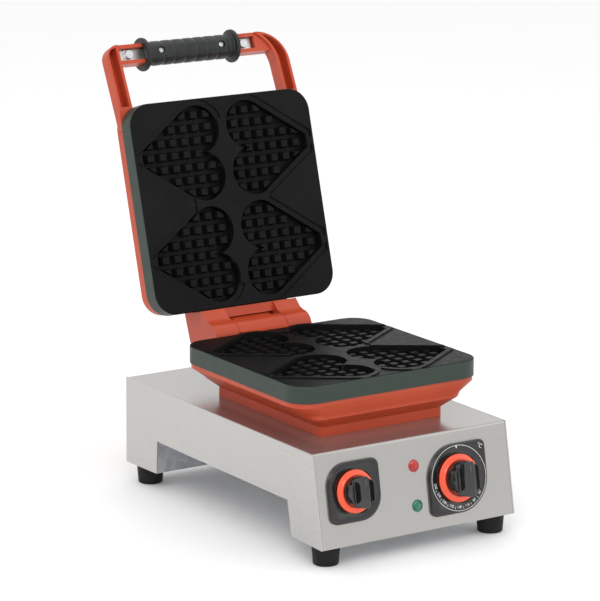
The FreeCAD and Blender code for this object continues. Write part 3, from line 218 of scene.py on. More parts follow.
class Shader:
    """A material with one Principled shader, and short calls for the nodes that feed it."""

    def __init__(self, name, colour, roughness, metallic=0.0, **sockets):
        self.material = bpy.data.materials.new(name)
        self.material.use_nodes = True
        self.tree = self.material.node_tree
        self.bsdf = self.tree.nodes["Principled BSDF"]
        self.bsdf.inputs["Base Color"].default_value = (*colour, 1.0)
        self.bsdf.inputs["Roughness"].default_value = roughness
        self.bsdf.inputs["Metallic"].default_value = metallic
        for socket, value in sockets.items():
            self.bsdf.inputs[socket.replace("_", " ")].default_value = value
        self.coordinates = self.tree.nodes.new("ShaderNodeTexCoord").outputs["Object"]
        self.height = None

    def link(self, output, target):
        self.tree.links.new(output, target)

    def stretched(self, scale):
        mapping = self.tree.nodes.new("ShaderNodeMapping")
        mapping.inputs["Scale"].default_value = scale
        self.link(self.coordinates, mapping.inputs["Vector"])
        return mapping.outputs["Vector"]

    def noise(self, scale, detail=4.0, stretch=None, roughness=0.55):
        """Noise over the object; scale is per metre."""
        texture = self.tree.nodes.new("ShaderNodeTexNoise")
        texture.inputs["Scale"].default_value = scale
        texture.inputs["Detail"].default_value = detail
        texture.inputs["Roughness"].default_value = roughness
        vector = self.stretched(stretch) if stretch else self.coordinates
        self.link(vector, texture.inputs["Vector"])
        return texture.outputs["Fac"]

    def ramp(self, value, low, high, positions=(0.3, 0.7)):
        """Colour between two ends, driven by a value."""
        node = self.tree.nodes.new("ShaderNodeValToRGB")
        for element, position, colour in zip(node.color_ramp.elements, positions, (low, high)):
            element.position = position
            element.color = (*colour, 1.0)
        self.link(value, node.inputs["Fac"])
        return node.outputs["Color"]

    def span(self, value, low, high, positions=(0.3, 0.7)):
        """Number between two ends, driven by a value."""
        node = self.tree.nodes.new("ShaderNodeMapRange")
        node.inputs["From Min"].default_value = positions[0]
        node.inputs["From Max"].default_value = positions[1]
        node.inputs["To Min"].default_value = low
        node.inputs["To Max"].default_value = high
        self.link(value, node.inputs["Value"])
        return node.outputs["Result"]

    def mixed(self, factor, first, second):
        """Two colours mixed by a factor; each is a fixed colour or a node's output."""
        node = self.tree.nodes.new("ShaderNodeMix")
        node.data_type = "RGBA"
        self.link(factor, node.inputs["Factor"])
        for source, number in ((first, MIX_FIRST), (second, MIX_SECOND)):
            target = node.inputs[number]
            if isinstance(source, tuple):
                target.default_value = (*source, 1.0)
            else:
                self.link(source, target)
        return node.outputs[MIX_RESULT]

    def edges(self, low, high):
        """0 on flats and 1 on convex edges; low and high are the pointiness where it starts and ends."""
        geometry = self.tree.nodes.new("ShaderNodeNewGeometry")
        return self.span(geometry.outputs["Pointiness"], 0.0, 1.0, (low, high))

    def colour(self, output):
        self.link(output, self.bsdf.inputs["Base Color"])

    def roughness(self, output):
        self.link(output, self.bsdf.inputs["Roughness"])

    def bump(self, height, distance, strength=1.0):
        """Adds a bump with its depth in metres; calls stack from coarse to fine."""
        node = self.tree.nodes.new("ShaderNodeBump")
        node.inputs["Strength"].default_value = strength
        node.inputs["Distance"].default_value = distance
        self.link(height, node.inputs["Height"])
        if self.height is not None:
            self.link(self.height, node.inputs["Normal"])
        self.height = node.outputs["Normal"]
        self.link(self.height, self.bsdf.inputs["Normal"])


def orange_enamel():
    """Satin stove enamel over a sand casting, a little darker in patches and paler on its edges."""
    m = Shader("orange_enamel", (0.46, 0.055, 0.018), 0.36,
               Specular_IOR_Level=0.32, Coat_Weight=0.12, Coat_Roughness=0.25)
    patches = m.ramp(m.noise(9.0, 5.0), (0.43, 0.048, 0.015), (0.50, 0.064, 0.021))
    edge_wear_and_highlight = m.span(m.edges(0.58, 0.70), 0.0, 0.3, (0.0, 1.0))
    m.colour(m.mixed(edge_wear_and_highlight, patches, (0.56, 0.11, 0.06)))
    m.roughness(m.span(m.noise(60.0, 6.0), 0.30, 0.44))
    m.bump(m.noise(55.0, 3.0), 0.00022, 0.5)
    m.bump(m.noise(900.0, 3.0), 0.00005, 0.45)
    return m.material


def brushed_steel(name, colour, stretch, low, high):
    """Stainless sheet with fine brushing along one direction."""
    m = Shader(name, colour, 0.28, 0.82)
    lines = m.noise(1.0, 5.0, stretch, 0.7)
    dark = tuple(0.975 * c for c in colour)
    bright = tuple(min(1.0, 1.02 * c) for c in colour)
    streaks = m.ramp(lines, dark, bright)
    smudges = m.span(m.noise(5.0, 3.0), 0.0, 0.25)
    m.colour(m.mixed(smudges, streaks, tuple(0.97 * c for c in colour)))
    m.roughness(m.span(lines, low, high))
    m.bump(lines, 0.000003, 0.2)
    return m.material


def galvanised():
    """Zinc-coated sheet with its spangle."""
    m = Shader("galvanised_sheet", (0.55, 0.56, 0.58), 0.42, 0.9)
    cells = m.tree.nodes.new("ShaderNodeTexVoronoi")
    cells.inputs["Scale"].default_value = 130.0
    m.link(m.coordinates, cells.inputs["Vector"])
    m.colour(m.ramp(cells.outputs["Color"], (0.46, 0.47, 0.49), (0.62, 0.63, 0.65), (0.1, 0.9)))
    m.roughness(m.span(m.noise(70.0, 4.0), 0.34, 0.52))
    m.bump(m.noise(400.0, 4.0), 0.00003, 0.4)
    return m.material


def plate_face():
    """Dark non-stick coat on a fine cast grain, paler on the raised edges: painted highlight there, partly edge
    wear.
    """
    m = Shader("plate_face", (0.006, 0.006, 0.006), 0.42, 0.0, Specular_IOR_Level=0.08)
    coat = m.ramp(m.noise(14.0, 6.0), (0.005, 0.005, 0.005), (0.0085, 0.0085, 0.0085))
    # Raised edges made paler: a painted highlight where the block edges catch the light, partly wear of the coat.
    edge_wear_and_highlight = m.span(m.edges(0.62, 0.74), 0.0, 0.5, (0.0, 1.0))
    m.colour(m.mixed(edge_wear_and_highlight, coat, (0.040, 0.041, 0.041)))
    m.roughness(m.span(m.noise(110.0, 5.0), 0.36, 0.50))
    m.bump(m.noise(260.0, 4.0), 0.00006, 0.35)
    m.bump(m.noise(1500.0, 3.0), 0.00003, 0.5)
    return m.material


def plate_side():
    """Milled sides of the plates under a thin grey-green coat."""
    m = Shader("plate_side", (0.036, 0.050, 0.040), 0.46, 0.15, Specular_IOR_Level=0.3)
    lines = m.noise(1.0, 4.0, (40.0, 40.0, 1400.0), 0.6)
    m.colour(m.ramp(lines, (0.030, 0.043, 0.034), (0.042, 0.057, 0.046)))
    m.roughness(m.span(m.noise(80.0, 5.0), 0.40, 0.52))
    m.bump(lines, 0.00003, 0.3)
    m.bump(m.noise(700.0, 3.0), 0.00003, 0.4)
    return m.material


def black_rubber():
    m = Shader("black_rubber", (0.007, 0.007, 0.007), 0.62, 0.0, Specular_IOR_Level=0.25)
    m.colour(m.ramp(m.noise(60.0, 4.0), (0.005, 0.005, 0.005), (0.010, 0.010, 0.010)))
    m.roughness(m.span(m.noise(200.0, 4.0), 0.55, 0.72))
    m.bump(m.noise(1200.0, 3.0), 0.00005, 0.5)
    return m.material


def zinc_plate():
    m = Shader("zinc_plate", (0.60, 0.60, 0.61), 0.26, 0.9)
    m.colour(m.ramp(m.noise(140.0, 4.0), (0.54, 0.54, 0.56), (0.66, 0.66, 0.66)))
    m.roughness(m.span(m.noise(300.0, 4.0), 0.20, 0.34))
    m.bump(m.noise(900.0, 3.0), 0.000006, 0.2)
    return m.material


def bright_steel():
    """Rolled steel bar with mill lines."""
    m = Shader("bright_steel", (0.60, 0.595, 0.585), 0.30, 0.85)
    lines = m.noise(1.0, 4.0, (30.0, 1300.0, 1300.0), 0.6)
    m.colour(m.ramp(lines, (0.56, 0.555, 0.545), (0.64, 0.635, 0.625)))
    m.roughness(m.span(m.noise(120.0, 4.0), 0.26, 0.38))
    m.bump(lines, 0.000003, 0.2)
    return m.material


def brass():
    m = Shader("brass", (0.62, 0.40, 0.18), 0.32, 1.0)
    m.colour(m.ramp(m.noise(90.0, 5.0), (0.50, 0.30, 0.13), (0.68, 0.46, 0.22)))
    m.roughness(m.span(m.noise(200.0, 4.0), 0.24, 0.42))
    m.bump(m.noise(800.0, 3.0), 0.00003, 0.3)
    return m.material


def mineral_wool():
    m = Shader("mineral_wool", (0.62, 0.58, 0.45), 0.95, 0.0, Sheen_Weight=0.3, Sheen_Roughness=0.6)
    fibres = m.noise(1.0, 6.0, (180.0, 900.0, 500.0), 0.7)
    m.colour(m.ramp(fibres, (0.46, 0.42, 0.31), (0.74, 0.70, 0.56)))
    m.bump(fibres, 0.0008, 0.8)
    return m.material


def moulded(name, colour, low, high, grain=1100.0, depth=0.00003, spread=0.25, **sockets):
    """Moulded plastic: faint colour drift, uneven gloss and a fine skin."""
    m = Shader(name, colour, (low + high) / 2, 0.0, **sockets)
    dark = tuple((1 - spread) * c for c in colour)
    bright = tuple(min(1.0, (1 + spread) * c) for c in colour)
    m.colour(m.ramp(m.noise(45.0, 4.0), dark, bright))
    m.roughness(m.span(m.noise(120.0, 5.0), low, high))
    m.bump(m.noise(grain, 3.0), depth, 0.4)
    return m.material


def lamp_lens(name, deep, pale):
    """Coloured clear plastic, cut like a jewel."""
    m = Shader(name, deep, 0.08, 0.0, Transmission_Weight=0.35, IOR=1.49,
               Coat_Weight=0.6, Coat_Roughness=0.05, Emission_Strength=0.04)
    m.bsdf.inputs["Emission Color"].default_value = (*pale, 1.0)
    m.colour(m.ramp(m.noise(260.0, 2.0), deep, pale))
    m.roughness(m.span(m.noise(200.0, 3.0), 0.05, 0.14))
    m.bump(m.noise(350.0, 2.0), 0.0001, 0.3)
    return m.material


def printed_ink():
    m = Shader("printed_ink", (0.80, 0.80, 0.78), 0.5, 0.0)
    m.colour(m.ramp(m.noise(900.0, 4.0), (0.70, 0.70, 0.68), (0.86, 0.86, 0.84)))
    m.roughness(m.span(m.noise(500.0, 3.0), 0.42, 0.6))
    return m.material


def floor_paint():
    m = Shader("floor_paint", (0.93, 0.93, 0.93), 0.7, 0.0)
    m.colour(m.ramp(m.noise(2.0, 3.0), (0.925, 0.925, 0.925), (0.935, 0.935, 0.935)))
    return m.material


MATERIALS = {
    "stainless_wrap": brushed_steel("stainless_wrap", (0.445, 0.432, 0.414),
                                    (7.0, 1500.0, 1500.0), 0.15, 0.25),
    "stainless_sides": brushed_steel("stainless_sides", (0.52, 0.51, 0.495),
                                     (1500.0, 7.0, 1500.0), 0.24, 0.36),
    "galvanised_sheet": galvanised(),
    "black_rubber": black_rubber(),
    "orange_paint": orange_enamel(),
    "seasoned_plate": plate_face(),
    "zinc_fasteners": zinc_plate(),
    "bright_steel": bright_steel(),
    "copper_brass": brass(),
    "mineral_wool": mineral_wool(),
    "grip_plastic": moulded("grip_plastic", (0.012, 0.0135, 0.0135), 0.36, 0.52, 800.0, 0.00006,
                            Specular_IOR_Level=0.4),
    "bezel_plastic": moulded("bezel_plastic", (0.006, 0.006, 0.006), 0.16, 0.26, Coat_Weight=0.3,
                             Coat_Roughness=0.12),
    "ring_plastic": moulded("ring_plastic", (0.90, 0.085, 0.025), 0.20, 0.32, spread=0.06,
                            Coat_Weight=0.4, Coat_Roughness=0.12),
    "knob_plastic": moulded("knob_plastic", (0.008, 0.008, 0.008), 0.10, 0.20, Coat_Weight=0.6,
                            Coat_Roughness=0.08),
    "control_plastic": moulded("control_plastic", (0.10, 0.10, 0.105), 0.40, 0.60),
    "gland_plastic": moulded("gland_plastic", (0.030, 0.030, 0.031), 0.40, 0.58),
    "red_lens": lamp_lens("red_lens", (0.42, 0.003, 0.004), (0.75, 0.02, 0.02)),
    "green_lens": lamp_lens("green_lens", (0.002, 0.11, 0.055), (0.01, 0.28, 0.15)),
}
PLATE_SIDE = plate_side()
INK = printed_ink()


# ---- Mesh helpers ----

def made(name, mesh, material):
    piece = bpy.data.objects.new(name, mesh)
    bpy.context.scene.collection.objects.link(piece)
    mesh.materials.clear()
    mesh.materials.append(material)
    return piece


def mesh_from(name, bm, sharp=35.0):
    """Smooth-shaded mesh whose edges over the angle stay sharp."""
    bmesh.ops.recalc_face_normals(bm, faces=bm.faces)
    mesh = bpy.data.meshes.new(name)
    bm.to_mesh(mesh)
    bm.free()
    mesh.polygons.foreach_set("use_smooth", [True] * len(mesh.polygons))
    mesh.set_sharp_from_angle(angle=math.radians(sharp))
    return mesh


def apply_modifiers(piece):
    graph = bpy.context.evaluated_depsgraph_get()
    mesh = bpy.data.meshes.new_from_object(piece.evaluated_get(graph))
    piece.modifiers.clear()
    piece.data = mesh


def body_of(node):
    for body, members in RECORD["behaviour"]["bodies"].items():
        if node in members:
            return body
    raise KeyError(node)


def softened(node, width, segments=3, angle=28.0, merge_flats=True):
    """A copy of the node's shape with its edges rounded, which stands for the node.

    merge_flats first joins the triangles of each flat face. The baking plates go without it,
    because it leaves a black patch on the lower one.
    """
    bm = bmesh.new()
    bm.from_mesh(frame["nodes"][node].data)
    bmesh.ops.remove_doubles(bm, verts=bm.verts, dist=WELD)
    if merge_flats:
        bmesh.ops.dissolve_limit(bm, angle_limit=FLAT_ANGLE, verts=bm.verts, edges=bm.edges)
    slot = SLOT_OF[node]
    name = node + "_skin"
    piece = made(name, mesh_from(name, bm, 180.0), MATERIALS[slot])
    bevel = piece.modifiers.new("round", "BEVEL")
    bevel.width = width
    bevel.segments = segments
    bevel.limit_method = "ANGLE"
    bevel.angle_limit = math.radians(angle)
    bevel.miter_outer = "MITER_ARC"
    weighted = piece.modifiers.new("flat_shading", "WEIGHTED_NORMAL")
    weighted.weight = LARGE_FACES_LEAD
    apply_modifiers(piece)
    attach(piece, body_of(node))
    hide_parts(node)
    return piece


def circle(bm, radius, z, turns, shift=0.0):
    """A loop of vertices round local Z."""
    loop = []
    for i in range(turns):
        angle = 2 * math.pi * i / turns + shift
        loop.append(bm.verts.new((radius * math.cos(angle), radius * math.sin(angle), z)))
    return loop


def wall(bm, lower, upper):
    """A band of faces between two closed loops of as many vertices."""
    for i in range(len(lower)):
        j = (i + 1) % len(lower)
        bm.faces.new((lower[i], lower[j], upper[j], upper[i]))


def lathe(name, profile, material, turns=96):
    """Surface of revolution about local Z from (radius, height) pairs; a radius of 0 closes an end."""
    bm = bmesh.new()
    rings = []
    for radius, height in profile:
        if radius < ON_AXIS:
            rings.append([bm.verts.new((0, 0, height))])
        else:
            rings.append(circle(bm, radius, height, turns))
    for lower, upper in zip(rings, rings[1:]):
        for i in range(turns):
            j = (i + 1) % turns
            corners = [lower[i % len(lower)], lower[j % len(lower)],
                       upper[j % len(upper)], upper[i % len(upper)]]
            unique = list(dict.fromkeys(corners))
            if len(unique) > 2:
                bm.faces.new(unique)
    return made(name, mesh_from(name, bm), material)


def place(piece, matrix):
    piece.data.transform(matrix)


def settle(piece, body, slot, *nodes):
    """Gives the piece its body, and hides the nodes that it stands for; the slot is not used."""
    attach(piece, body)
    if nodes:
        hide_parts(*nodes)


def round_corner(centre, radius, start, end, steps=6):
    """Points of an arc in a profile, as (x, y)."""
    points = []
    for i in range(steps + 1):
        angle = math.radians(start + (end - start) * i / steps)
        points.append((centre[0] + radius * math.cos(angle), centre[1] + radius * math.sin(angle)))
    return points


def facing(origin, direction, up=(0.0, 0.0, 1.0)):
    """Matrix that puts local Z along a direction, with local Y as near as it can be to up."""
    z = Vector(direction).normalized()
    x = Vector(up).cross(z).normalized()
    y = z.cross(x)
    matrix = Matrix((x, y, z)).transposed().to_4x4()
    matrix.translation = origin
    return matrix


# ---- Plates ----

def baking_plate(node, facing_up):
    """Plate with rounded blocks and edges; its milled sides have their own coat."""
    plate = softened(node, PLATE_EDGE_R, 2, 24.0, merge_flats=False)
    plate.data.materials.append(PLATE_SIDE)
    normal = Vector(facing_up)
    low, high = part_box(node)
    middle = (low + high) / 2
    for face in plate.data.polygons:
        lies_on_side = abs(face.normal.dot(normal)) < PLATE_SIDE_TILT
        reach = face.center - middle
        reach -= reach.dot(normal) * normal
        across = abs(reach.x)
        along = (reach - Vector((reach.x, 0, 0))).length
        at_edge = max(across, along) > PLATE_EDGE_FROM or math.hypot(across, along) > PLATE_CORNER_FROM
        if lies_on_side and at_edge:
            face.material_index = 1


# ---- Lid hinge ----

def hinge_lip():
    """Rib under the far edge of the lid's hinge slab; it closes the gap over the middle knuckle."""
    bm = bmesh.new()
    ends = []
    for x in (-RIB_HALF, RIB_HALF):
        ends.append([bm.verts.new((x * MM, y * MM, z * MM)) for y, z in RIB_SECTION])
    bm.faces.new(ends[0])
    bm.faces.new(ends[1])
    wall(bm, ends[0], ends[1])
    edges = list(bm.edges)
    bmesh.ops.bevel(bm, geom=edges, offset=RIB_EDGE_R, segments=2, profile=0.5, affect="EDGES")
    lip = made("lid_hinge_rib", mesh_from("lid_hinge_rib", bm), MATERIALS["orange_paint"])
    hinge = Vector(JOINTS["lid_hinge"]["pos_m"])
    place(lip, Matrix.Translation(hinge) @ Matrix.Rotation(-LID_OPEN, 4, "X"))
    settle(lip, "lid", "orange_paint")


# ---- Handle ----

def handle_matrix():
    """From the handle's own axes (across, up the arm, back) to the open lid."""
    low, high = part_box("handle_strap")
    middle = (low + high) / 2
    lean = LID_LEAN + ARM_LEAN
    up = Vector((0, math.sin(lean), math.cos(lean)))
    back = Vector((0, math.cos(lean), -math.sin(lean)))
    matrix = Matrix((Vector((1, 0, 0)), up, back)).transposed().to_4x4()
    matrix.translation = Vector((0, middle.y, middle.z))
    return matrix


def grip_wave(along):
    """Height of the grip's barrel, along it from its middle: shallow round grooves."""
    if abs(along) > GRIP_GROOVED * GRIP_GROOVE_PITCH:
        return 0.0
    place_in_pitch = (along / GRIP_GROOVE_PITCH) % 1.0 - 0.5
    return -GRIP_GROOVE_DEPTH * math.exp(-(place_in_pitch / GRIP_GROOVE_WIDTH) ** 2)


def grip_profile():
    """Half outline of the grip along its length, as (radius, distance from its left end)."""
    length = GRIP_TO - GRIP_FROM
    edge = GRIP_EDGE_R
    rim = GRIP_FLANGE_R - edge
    left = [(GRIP_BORE_R, 0.0)]
    left += round_corner((rim, edge), edge, -90, 0)
    left += round_corner((rim, GRIP_FLANGE_T - edge), edge, 0, 90)
    left += round_corner((GRIP_R + GRIP_NECK_R, GRIP_FLANGE_T + GRIP_NECK_R), GRIP_NECK_R, 270, 180)
    start = GRIP_FLANGE_T + GRIP_BARREL_GAP
    barrel = []
    for i in range(GRIP_STEPS + 1):
        along = start + (length - 2 * start) * i / GRIP_STEPS
        barrel.append((GRIP_R + grip_wave(along - length / 2), along))
    right = [(radius, length - along) for radius, along in reversed(left)]
    return left + barrel + right


def grip_shell(matrix):
    """Both halves of the hand grip, with a parting line and the screw pockets in front."""
    shell = lathe("grip_shell", grip_profile(), MATERIALS["grip_plastic"], 128)
    place(shell, Matrix.Rotation(math.radians(90), 4, "Y"))
    for vertex in shell.data.vertices:
        vertex.co.x += GRIP_FROM
        if abs(vertex.co.z) < PARTING_HALF:
            vertex.co.y *= PARTING_SINK
    floor = -GRIP_R + POCKET_DEPTH
    pocket = [(0, -POCKET_REACH), (POCKET_R, -POCKET_REACH), (POCKET_R, floor), (0, floor)]
    tools = []
    for x in GRIP_SCREWS:
        tool = lathe("pocket_tool", pocket, MATERIALS["grip_plastic"], 40)
        place(tool, Matrix.Translation((x, 0, 0)))
        cut = shell.modifiers.new("pocket", "BOOLEAN")
        cut.operation = "DIFFERENCE"
        cut.object = tool
        tools.append(tool)
    apply_modifiers(shell)
    for tool in tools:
        bpy.data.objects.remove(tool)
    shell.data.set_sharp_from_angle(angle=math.radians(35))
    place(shell, matrix)
    settle(shell, "lid", "grip_plastic", "grip_front", "grip_rear")


def screw_head(name, radius, height):
    """Pan head with a cross recess, standing on local Z = 0."""
    profile = [(0, 0), (radius, 0), (radius, height * HEAD_FLANK)]
    for i in range(1, 9):
        angle = math.radians(90 * i / 8)
        profile.append((radius * math.cos(angle), height * (HEAD_FLANK + HEAD_DOME * math.sin(angle))))
    profile[-1] = (0, height)
    head = lathe(name, profile, MATERIALS["zinc_fasteners"], 48)
    size = Matrix.Diagonal((radius * RECESS_LONG, radius * RECESS_WIDE, height * RECESS_DEEP, 1))
    tools = []
    for turn in (0, 90):
        bm = bmesh.new()
        bmesh.ops.create_cube(bm, size=1.0)
        tool = made("slot_tool", mesh_from("slot_tool", bm), MATERIALS["zinc_fasteners"])
        turned = Matrix.Rotation(math.radians(turn + RECESS_TURN), 4, "Z")
        place(tool, Matrix.Translation((0, 0, height)) @ turned @ size)
        cut = head.modifiers.new("slot", "BOOLEAN")
        cut.object = tool
        tools.append(tool)
    apply_modifiers(head)
    for tool in tools:
        bpy.data.objects.remove(tool)
    return head


def grip():
    """Hand grip and its two screws."""
    matrix = handle_matrix()
    grip_shell(matrix)
    forward = matrix.to_3x3() @ Vector((0, 0, -1))
    for i, x in enumerate(GRIP_SCREWS):
        head = screw_head("grip_screw_%d" % (i + 1), GRIP_SCREW_R, GRIP_SCREW_T)
        seat = matrix @ Vector((x, 0, -GRIP_R + GRIP_SCREW_SEAT))
        place(head, facing(seat, forward))
        settle(head, "lid", "zinc_fasteners")
        if i == 0:
            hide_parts("grip_screws")


# ---- Controls ----

def joint_matrix(joint):
    """Local Z out of the front panel and local Y up the panel, on a dial's axis."""
    return facing(Vector(JOINTS[joint]["pos_m"]), Vector(JOINTS[joint]["axis"]))


def leaf_outline(half, big, small, steps=20):
    """Square outline with two opposite corners widely rounded, anticlockwise."""
    corners = ((-1, -1, small, 180), (1, -1, big, 270), (1, 1, small, 0), (-1, 1, big, 90))
    points = []
    for x, y, radius, start in corners:
        centre = (x * (half - radius), y * (half - radius))
        points += round_corner(centre, radius, start, start + 90, steps)
    return points


def bezel_layers():
    """Inset and height of each loop of a bezel, from the panel up and over its rounded rim."""
    layers = [(0.0, BEZEL_LIFT), (0.0, BEZEL_T - BEZEL_RIM_R)]
    for i in range(1, 7):
        angle = math.radians(90 * i / 6)
        inset = BEZEL_RIM_R * (1 - math.cos(angle))
        layers.append((inset, BEZEL_T - BEZEL_RIM_R * (1 - math.sin(angle))))
    layers.append((BEZEL_FACE_FROM, BEZEL_T))
    return layers


def bezel(name, size, matrix, node):
    """Leaf-shaped plate with a rounded rim and a shallow dish round the coloured ring."""
    bm = bmesh.new()
    loops = []
    for inset, z in bezel_layers():
        tight = max(size["small"] - inset, BEZEL_TIGHTEST)
        outline = leaf_outline(size["bezel"] - inset, size["big"] - inset, tight)
        loops.append([bm.verts.new((x, y, z)) for x, y in outline])
    angles = [math.atan2(v.co.y, v.co.x) for v in loops[-1]]
    dish_r = size["ring"] + DISH_GAP
    dish = ((dish_r + 0.6 * MM, BEZEL_T), (dish_r, BEZEL_T - 0.5 * MM),
            (dish_r - 0.2 * MM, DISH_FLOOR), (DISH_HOLE_R, DISH_FLOOR))
    for radius, z in dish:
        loops.append([bm.verts.new((radius * math.cos(a), radius * math.sin(a), z)) for a in angles])
    for lower, upper in zip(loops, loops[1:]):
        wall(bm, lower, upper)
    bmesh.ops.remove_doubles(bm, verts=bm.verts, dist=1e-6)
    plate = made(name, mesh_from(name, bm, 40.0), MATERIALS["bezel_plastic"])
    place(plate, matrix)
    settle(plate, "base", "bezel_plastic", node)


def ring(name, size, matrix, body, node):
    """Domed coloured collar round a knob."""
    outer = size["ring"]
    inner = size["knob"] + RING_GAP
    profile = [(inner, RING_FOOT), (outer - 0.6 * MM, RING_FOOT)]
    for i in range(13):
        angle = math.radians(90 * i / 12)
        reach = outer - RING_EDGE_R + RING_EDGE_R * math.cos(angle)
        profile.append((reach, RING_EDGE_Z + RING_EDGE_R * math.sin(angle)))
    profile += [(outer - 4.0 * MM, RING_BROW), (inner + 1.6 * MM, RING_TOP),
                (inner + 0.3 * MM, RING_TOP), (inner, RING_LIP)]
    collar = lathe(name, profile, MATERIALS["ring_plastic"], 128)
    place(collar, matrix)
    settle(collar, body, "ring_plastic", node)


def eased(share):
    """Smooth step from 0 to 1."""
    share = min(1.0, max(0.0, share))
    return share * share * (3 - 2 * share)


def knob_front(x, y, radius, height):
    """Height of the front over a point of the knob's disc: a bar between two dished shoulders."""
    bar = KNOB_BAR * radius
    away = max(0.0, abs(x) - bar) / (radius - bar)
    reach = math.hypot(x, y) / radius
    down = KNOB_DROP * eased(away / KNOB_DISH_SPAN)
    up = KNOB_SHOULDER * eased((away - KNOB_RISE_FROM) / KNOB_RISE_SPAN)
    return height - KNOB_CROWN * reach * reach - (down - up)


def knob_loop(bm, radius, height, share, drop):
    """A loop on the knob's front at a share of its radius, sunk by a drop."""
    loop = []
    for i in range(KNOB_TURNS):
        angle = 2 * math.pi * i / KNOB_TURNS
        x = radius * share * math.cos(angle)
        y = radius * share * math.sin(angle)
        loop.append(bm.verts.new((x, y, knob_front(x, y, radius, height) - drop)))
    return loop


def knob_mesh(name, radius, height):
    """The front from the middle out, then the wall down to the ring."""
    bm = bmesh.new()
    grid = []
    for r in range(1, KNOB_RINGS + 1):
        share = math.sin(math.pi / 2 * r / KNOB_RINGS) * (KNOB_TAPER - KNOB_EDGE_SHARE)
        grid.append(knob_loop(bm, radius, height, share, 0.0))
    grid.append(knob_loop(bm, radius, height, KNOB_TAPER, KNOB_EDGE_DROP))
    for z in KNOB_WALL:
        grid.append(circle(bm, radius, z, KNOB_TURNS))
    hub = bm.verts.new((0, 0, knob_front(0, 0, radius, height)))
    for i in range(KNOB_TURNS):
        bm.faces.new((hub, grid[0][i], grid[0][(i + 1) % KNOB_TURNS]))
    for lower, upper in zip(grid, grid[1:]):
        for i in range(KNOB_TURNS):
            j = (i + 1) % KNOB_TURNS
            bm.faces.new((lower[i], upper[i], upper[j], lower[j]))
    return mesh_from(name, bm, 50.0)


def knob(name, size, matrix, body, node):
    """Glossy knob: two finger dishes leave a grip bar across its front, with a pointer line on it."""
    radius = size["knob"]
    height = size["height"]
    turned = made(name, knob_mesh(name, radius, height), MATERIALS["knob_plastic"])
    place(turned, matrix)
    settle(turned, body, "knob_plastic", node)
    line = ink_bar(name + "_pointer", POINTER_WIDTH, radius * POINTER_LENGTH)
    line.data.materials[0] = MATERIALS["control_plastic"]
    place(line, matrix @ Matrix.Translation((0, radius * POINTER_AT, height - POINTER_SINK)))
    settle(line, body, "knob_plastic")


# ---- Print on the thermostat's bezel ----

def ink_patch(name, corners, height, narrowing=(1.0, 1.0)):
    """A flat printed shape with a hair of height; narrowing shrinks its upper side."""
    bm = bmesh.new()
    low = [bm.verts.new((x, y, 0)) for x, y in corners]
    high = [bm.verts.new((x * narrowing[0], y * narrowing[1], height)) for x, y in corners]
    bm.faces.new(high)
    wall(bm, low, high)
    return made(name, mesh_from(name, bm), INK)


def ink_bar(name, width, length):
    """Flat printed bar along local Y."""
    x = width / 2
    y = length / 2
    return ink_patch(name, [(-x, -y), (x, -y), (x, y), (-x, y)], BAR_T, (0.9, 0.98))


def ink_text(name, words, size, matrix):
    """Printed figures, turned into a thin mesh."""
    curve = bpy.data.curves.new(name, "FONT")
    curve.body = words
    curve.size = size
    curve.align_x = "CENTER"
    curve.align_y = "CENTER"
    curve.extrude = TEXT_T
    text = bpy.data.objects.new(name, curve)
    bpy.context.scene.collection.objects.link(text)
    graph = bpy.context.evaluated_depsgraph_get()
    mesh = bpy.data.meshes.new_from_object(text.evaluated_get(graph))
    bpy.data.objects.remove(text)
    piece = made(name, mesh, INK)
    place(piece, matrix)
    settle(piece, "base", "bezel_plastic")


def around(angle, radius):
    """Matrix of a place on the scale, with local Y towards the knob."""
    return Matrix.Rotation(angle + math.pi / 2, 4, "Z") @ Matrix.Translation((0, -radius, 0))


def scale_circle(face):
    """The thin printed circle round the ring."""
    bm = bmesh.new()
    loops = []
    for radius in (SCALE_R - SCALE_LINE_HALF, SCALE_R + SCALE_LINE_HALF):
        for z in (0.0, PRINT_T):
            loops.append(circle(bm, radius, z, 180))
    for a, b in ((0, 1), (1, 3), (3, 2), (2, 0)):
        wall(bm, loops[a], loops[b])
    line = made("scale_circle", mesh_from("scale_circle", bm), INK)
    place(line, face)
    settle(line, "base", "bezel_plastic")


def scale_mark(face):
    """The mark at the top that the pointer is read against."""
    top = SCALE_R - 0.6 * MM
    corners = [(-MARK_HALF, top), (MARK_HALF, top), (0.0, top - MARK_LENGTH)]
    mark = ink_patch("scale_mark", corners, PRINT_T)
    place(mark, face)
    settle(mark, "base", "bezel_plastic")


def scale_figures(face):
    """Figures from the lower left round to the lower right, with a tick between each two."""
    step = (SCALE_TO - SCALE_FROM) / (SCALE_STEPS - 1)
    for i in range(SCALE_STEPS):
        angle = SCALE_FROM + (SCALE_TO - SCALE_FROM) * i / (SCALE_STEPS - 1)
        figure = str(SCALE_FIRST + SCALE_STEP * (SCALE_STEPS - 1 - i))
        ink_text("scale_figure_%d" % (i + 1), figure, FIGURE_SIZE, face @ around(angle, FIGURE_R))
        if i < SCALE_STEPS - 1:
            tick = ink_bar("scale_tick_%d" % (i + 1), TICK_WIDTH, TICK_LENGTH)
            place(tick, face @ around(angle + step / 2, TICK_R))
            settle(tick, "base", "bezel_plastic")


def dial_print(matrix):
    """Circle, pointer mark, figures, ticks and unit round the thermostat's ring."""
    face = matrix @ Matrix.Translation((0, 0, BEZEL_T + PRINT_LIFT))
    scale_circle(face)
    scale_mark(face)
    scale_figures(face)
    corner = Matrix.Translation((UNIT_AT[0], UNIT_AT[1], 0)) @ Matrix.Rotation(UNIT_TURN, 4, "Z")
    ink_text("scale_unit", "°C", UNIT_SIZE, face @ corner)


# ---- Lamps ----

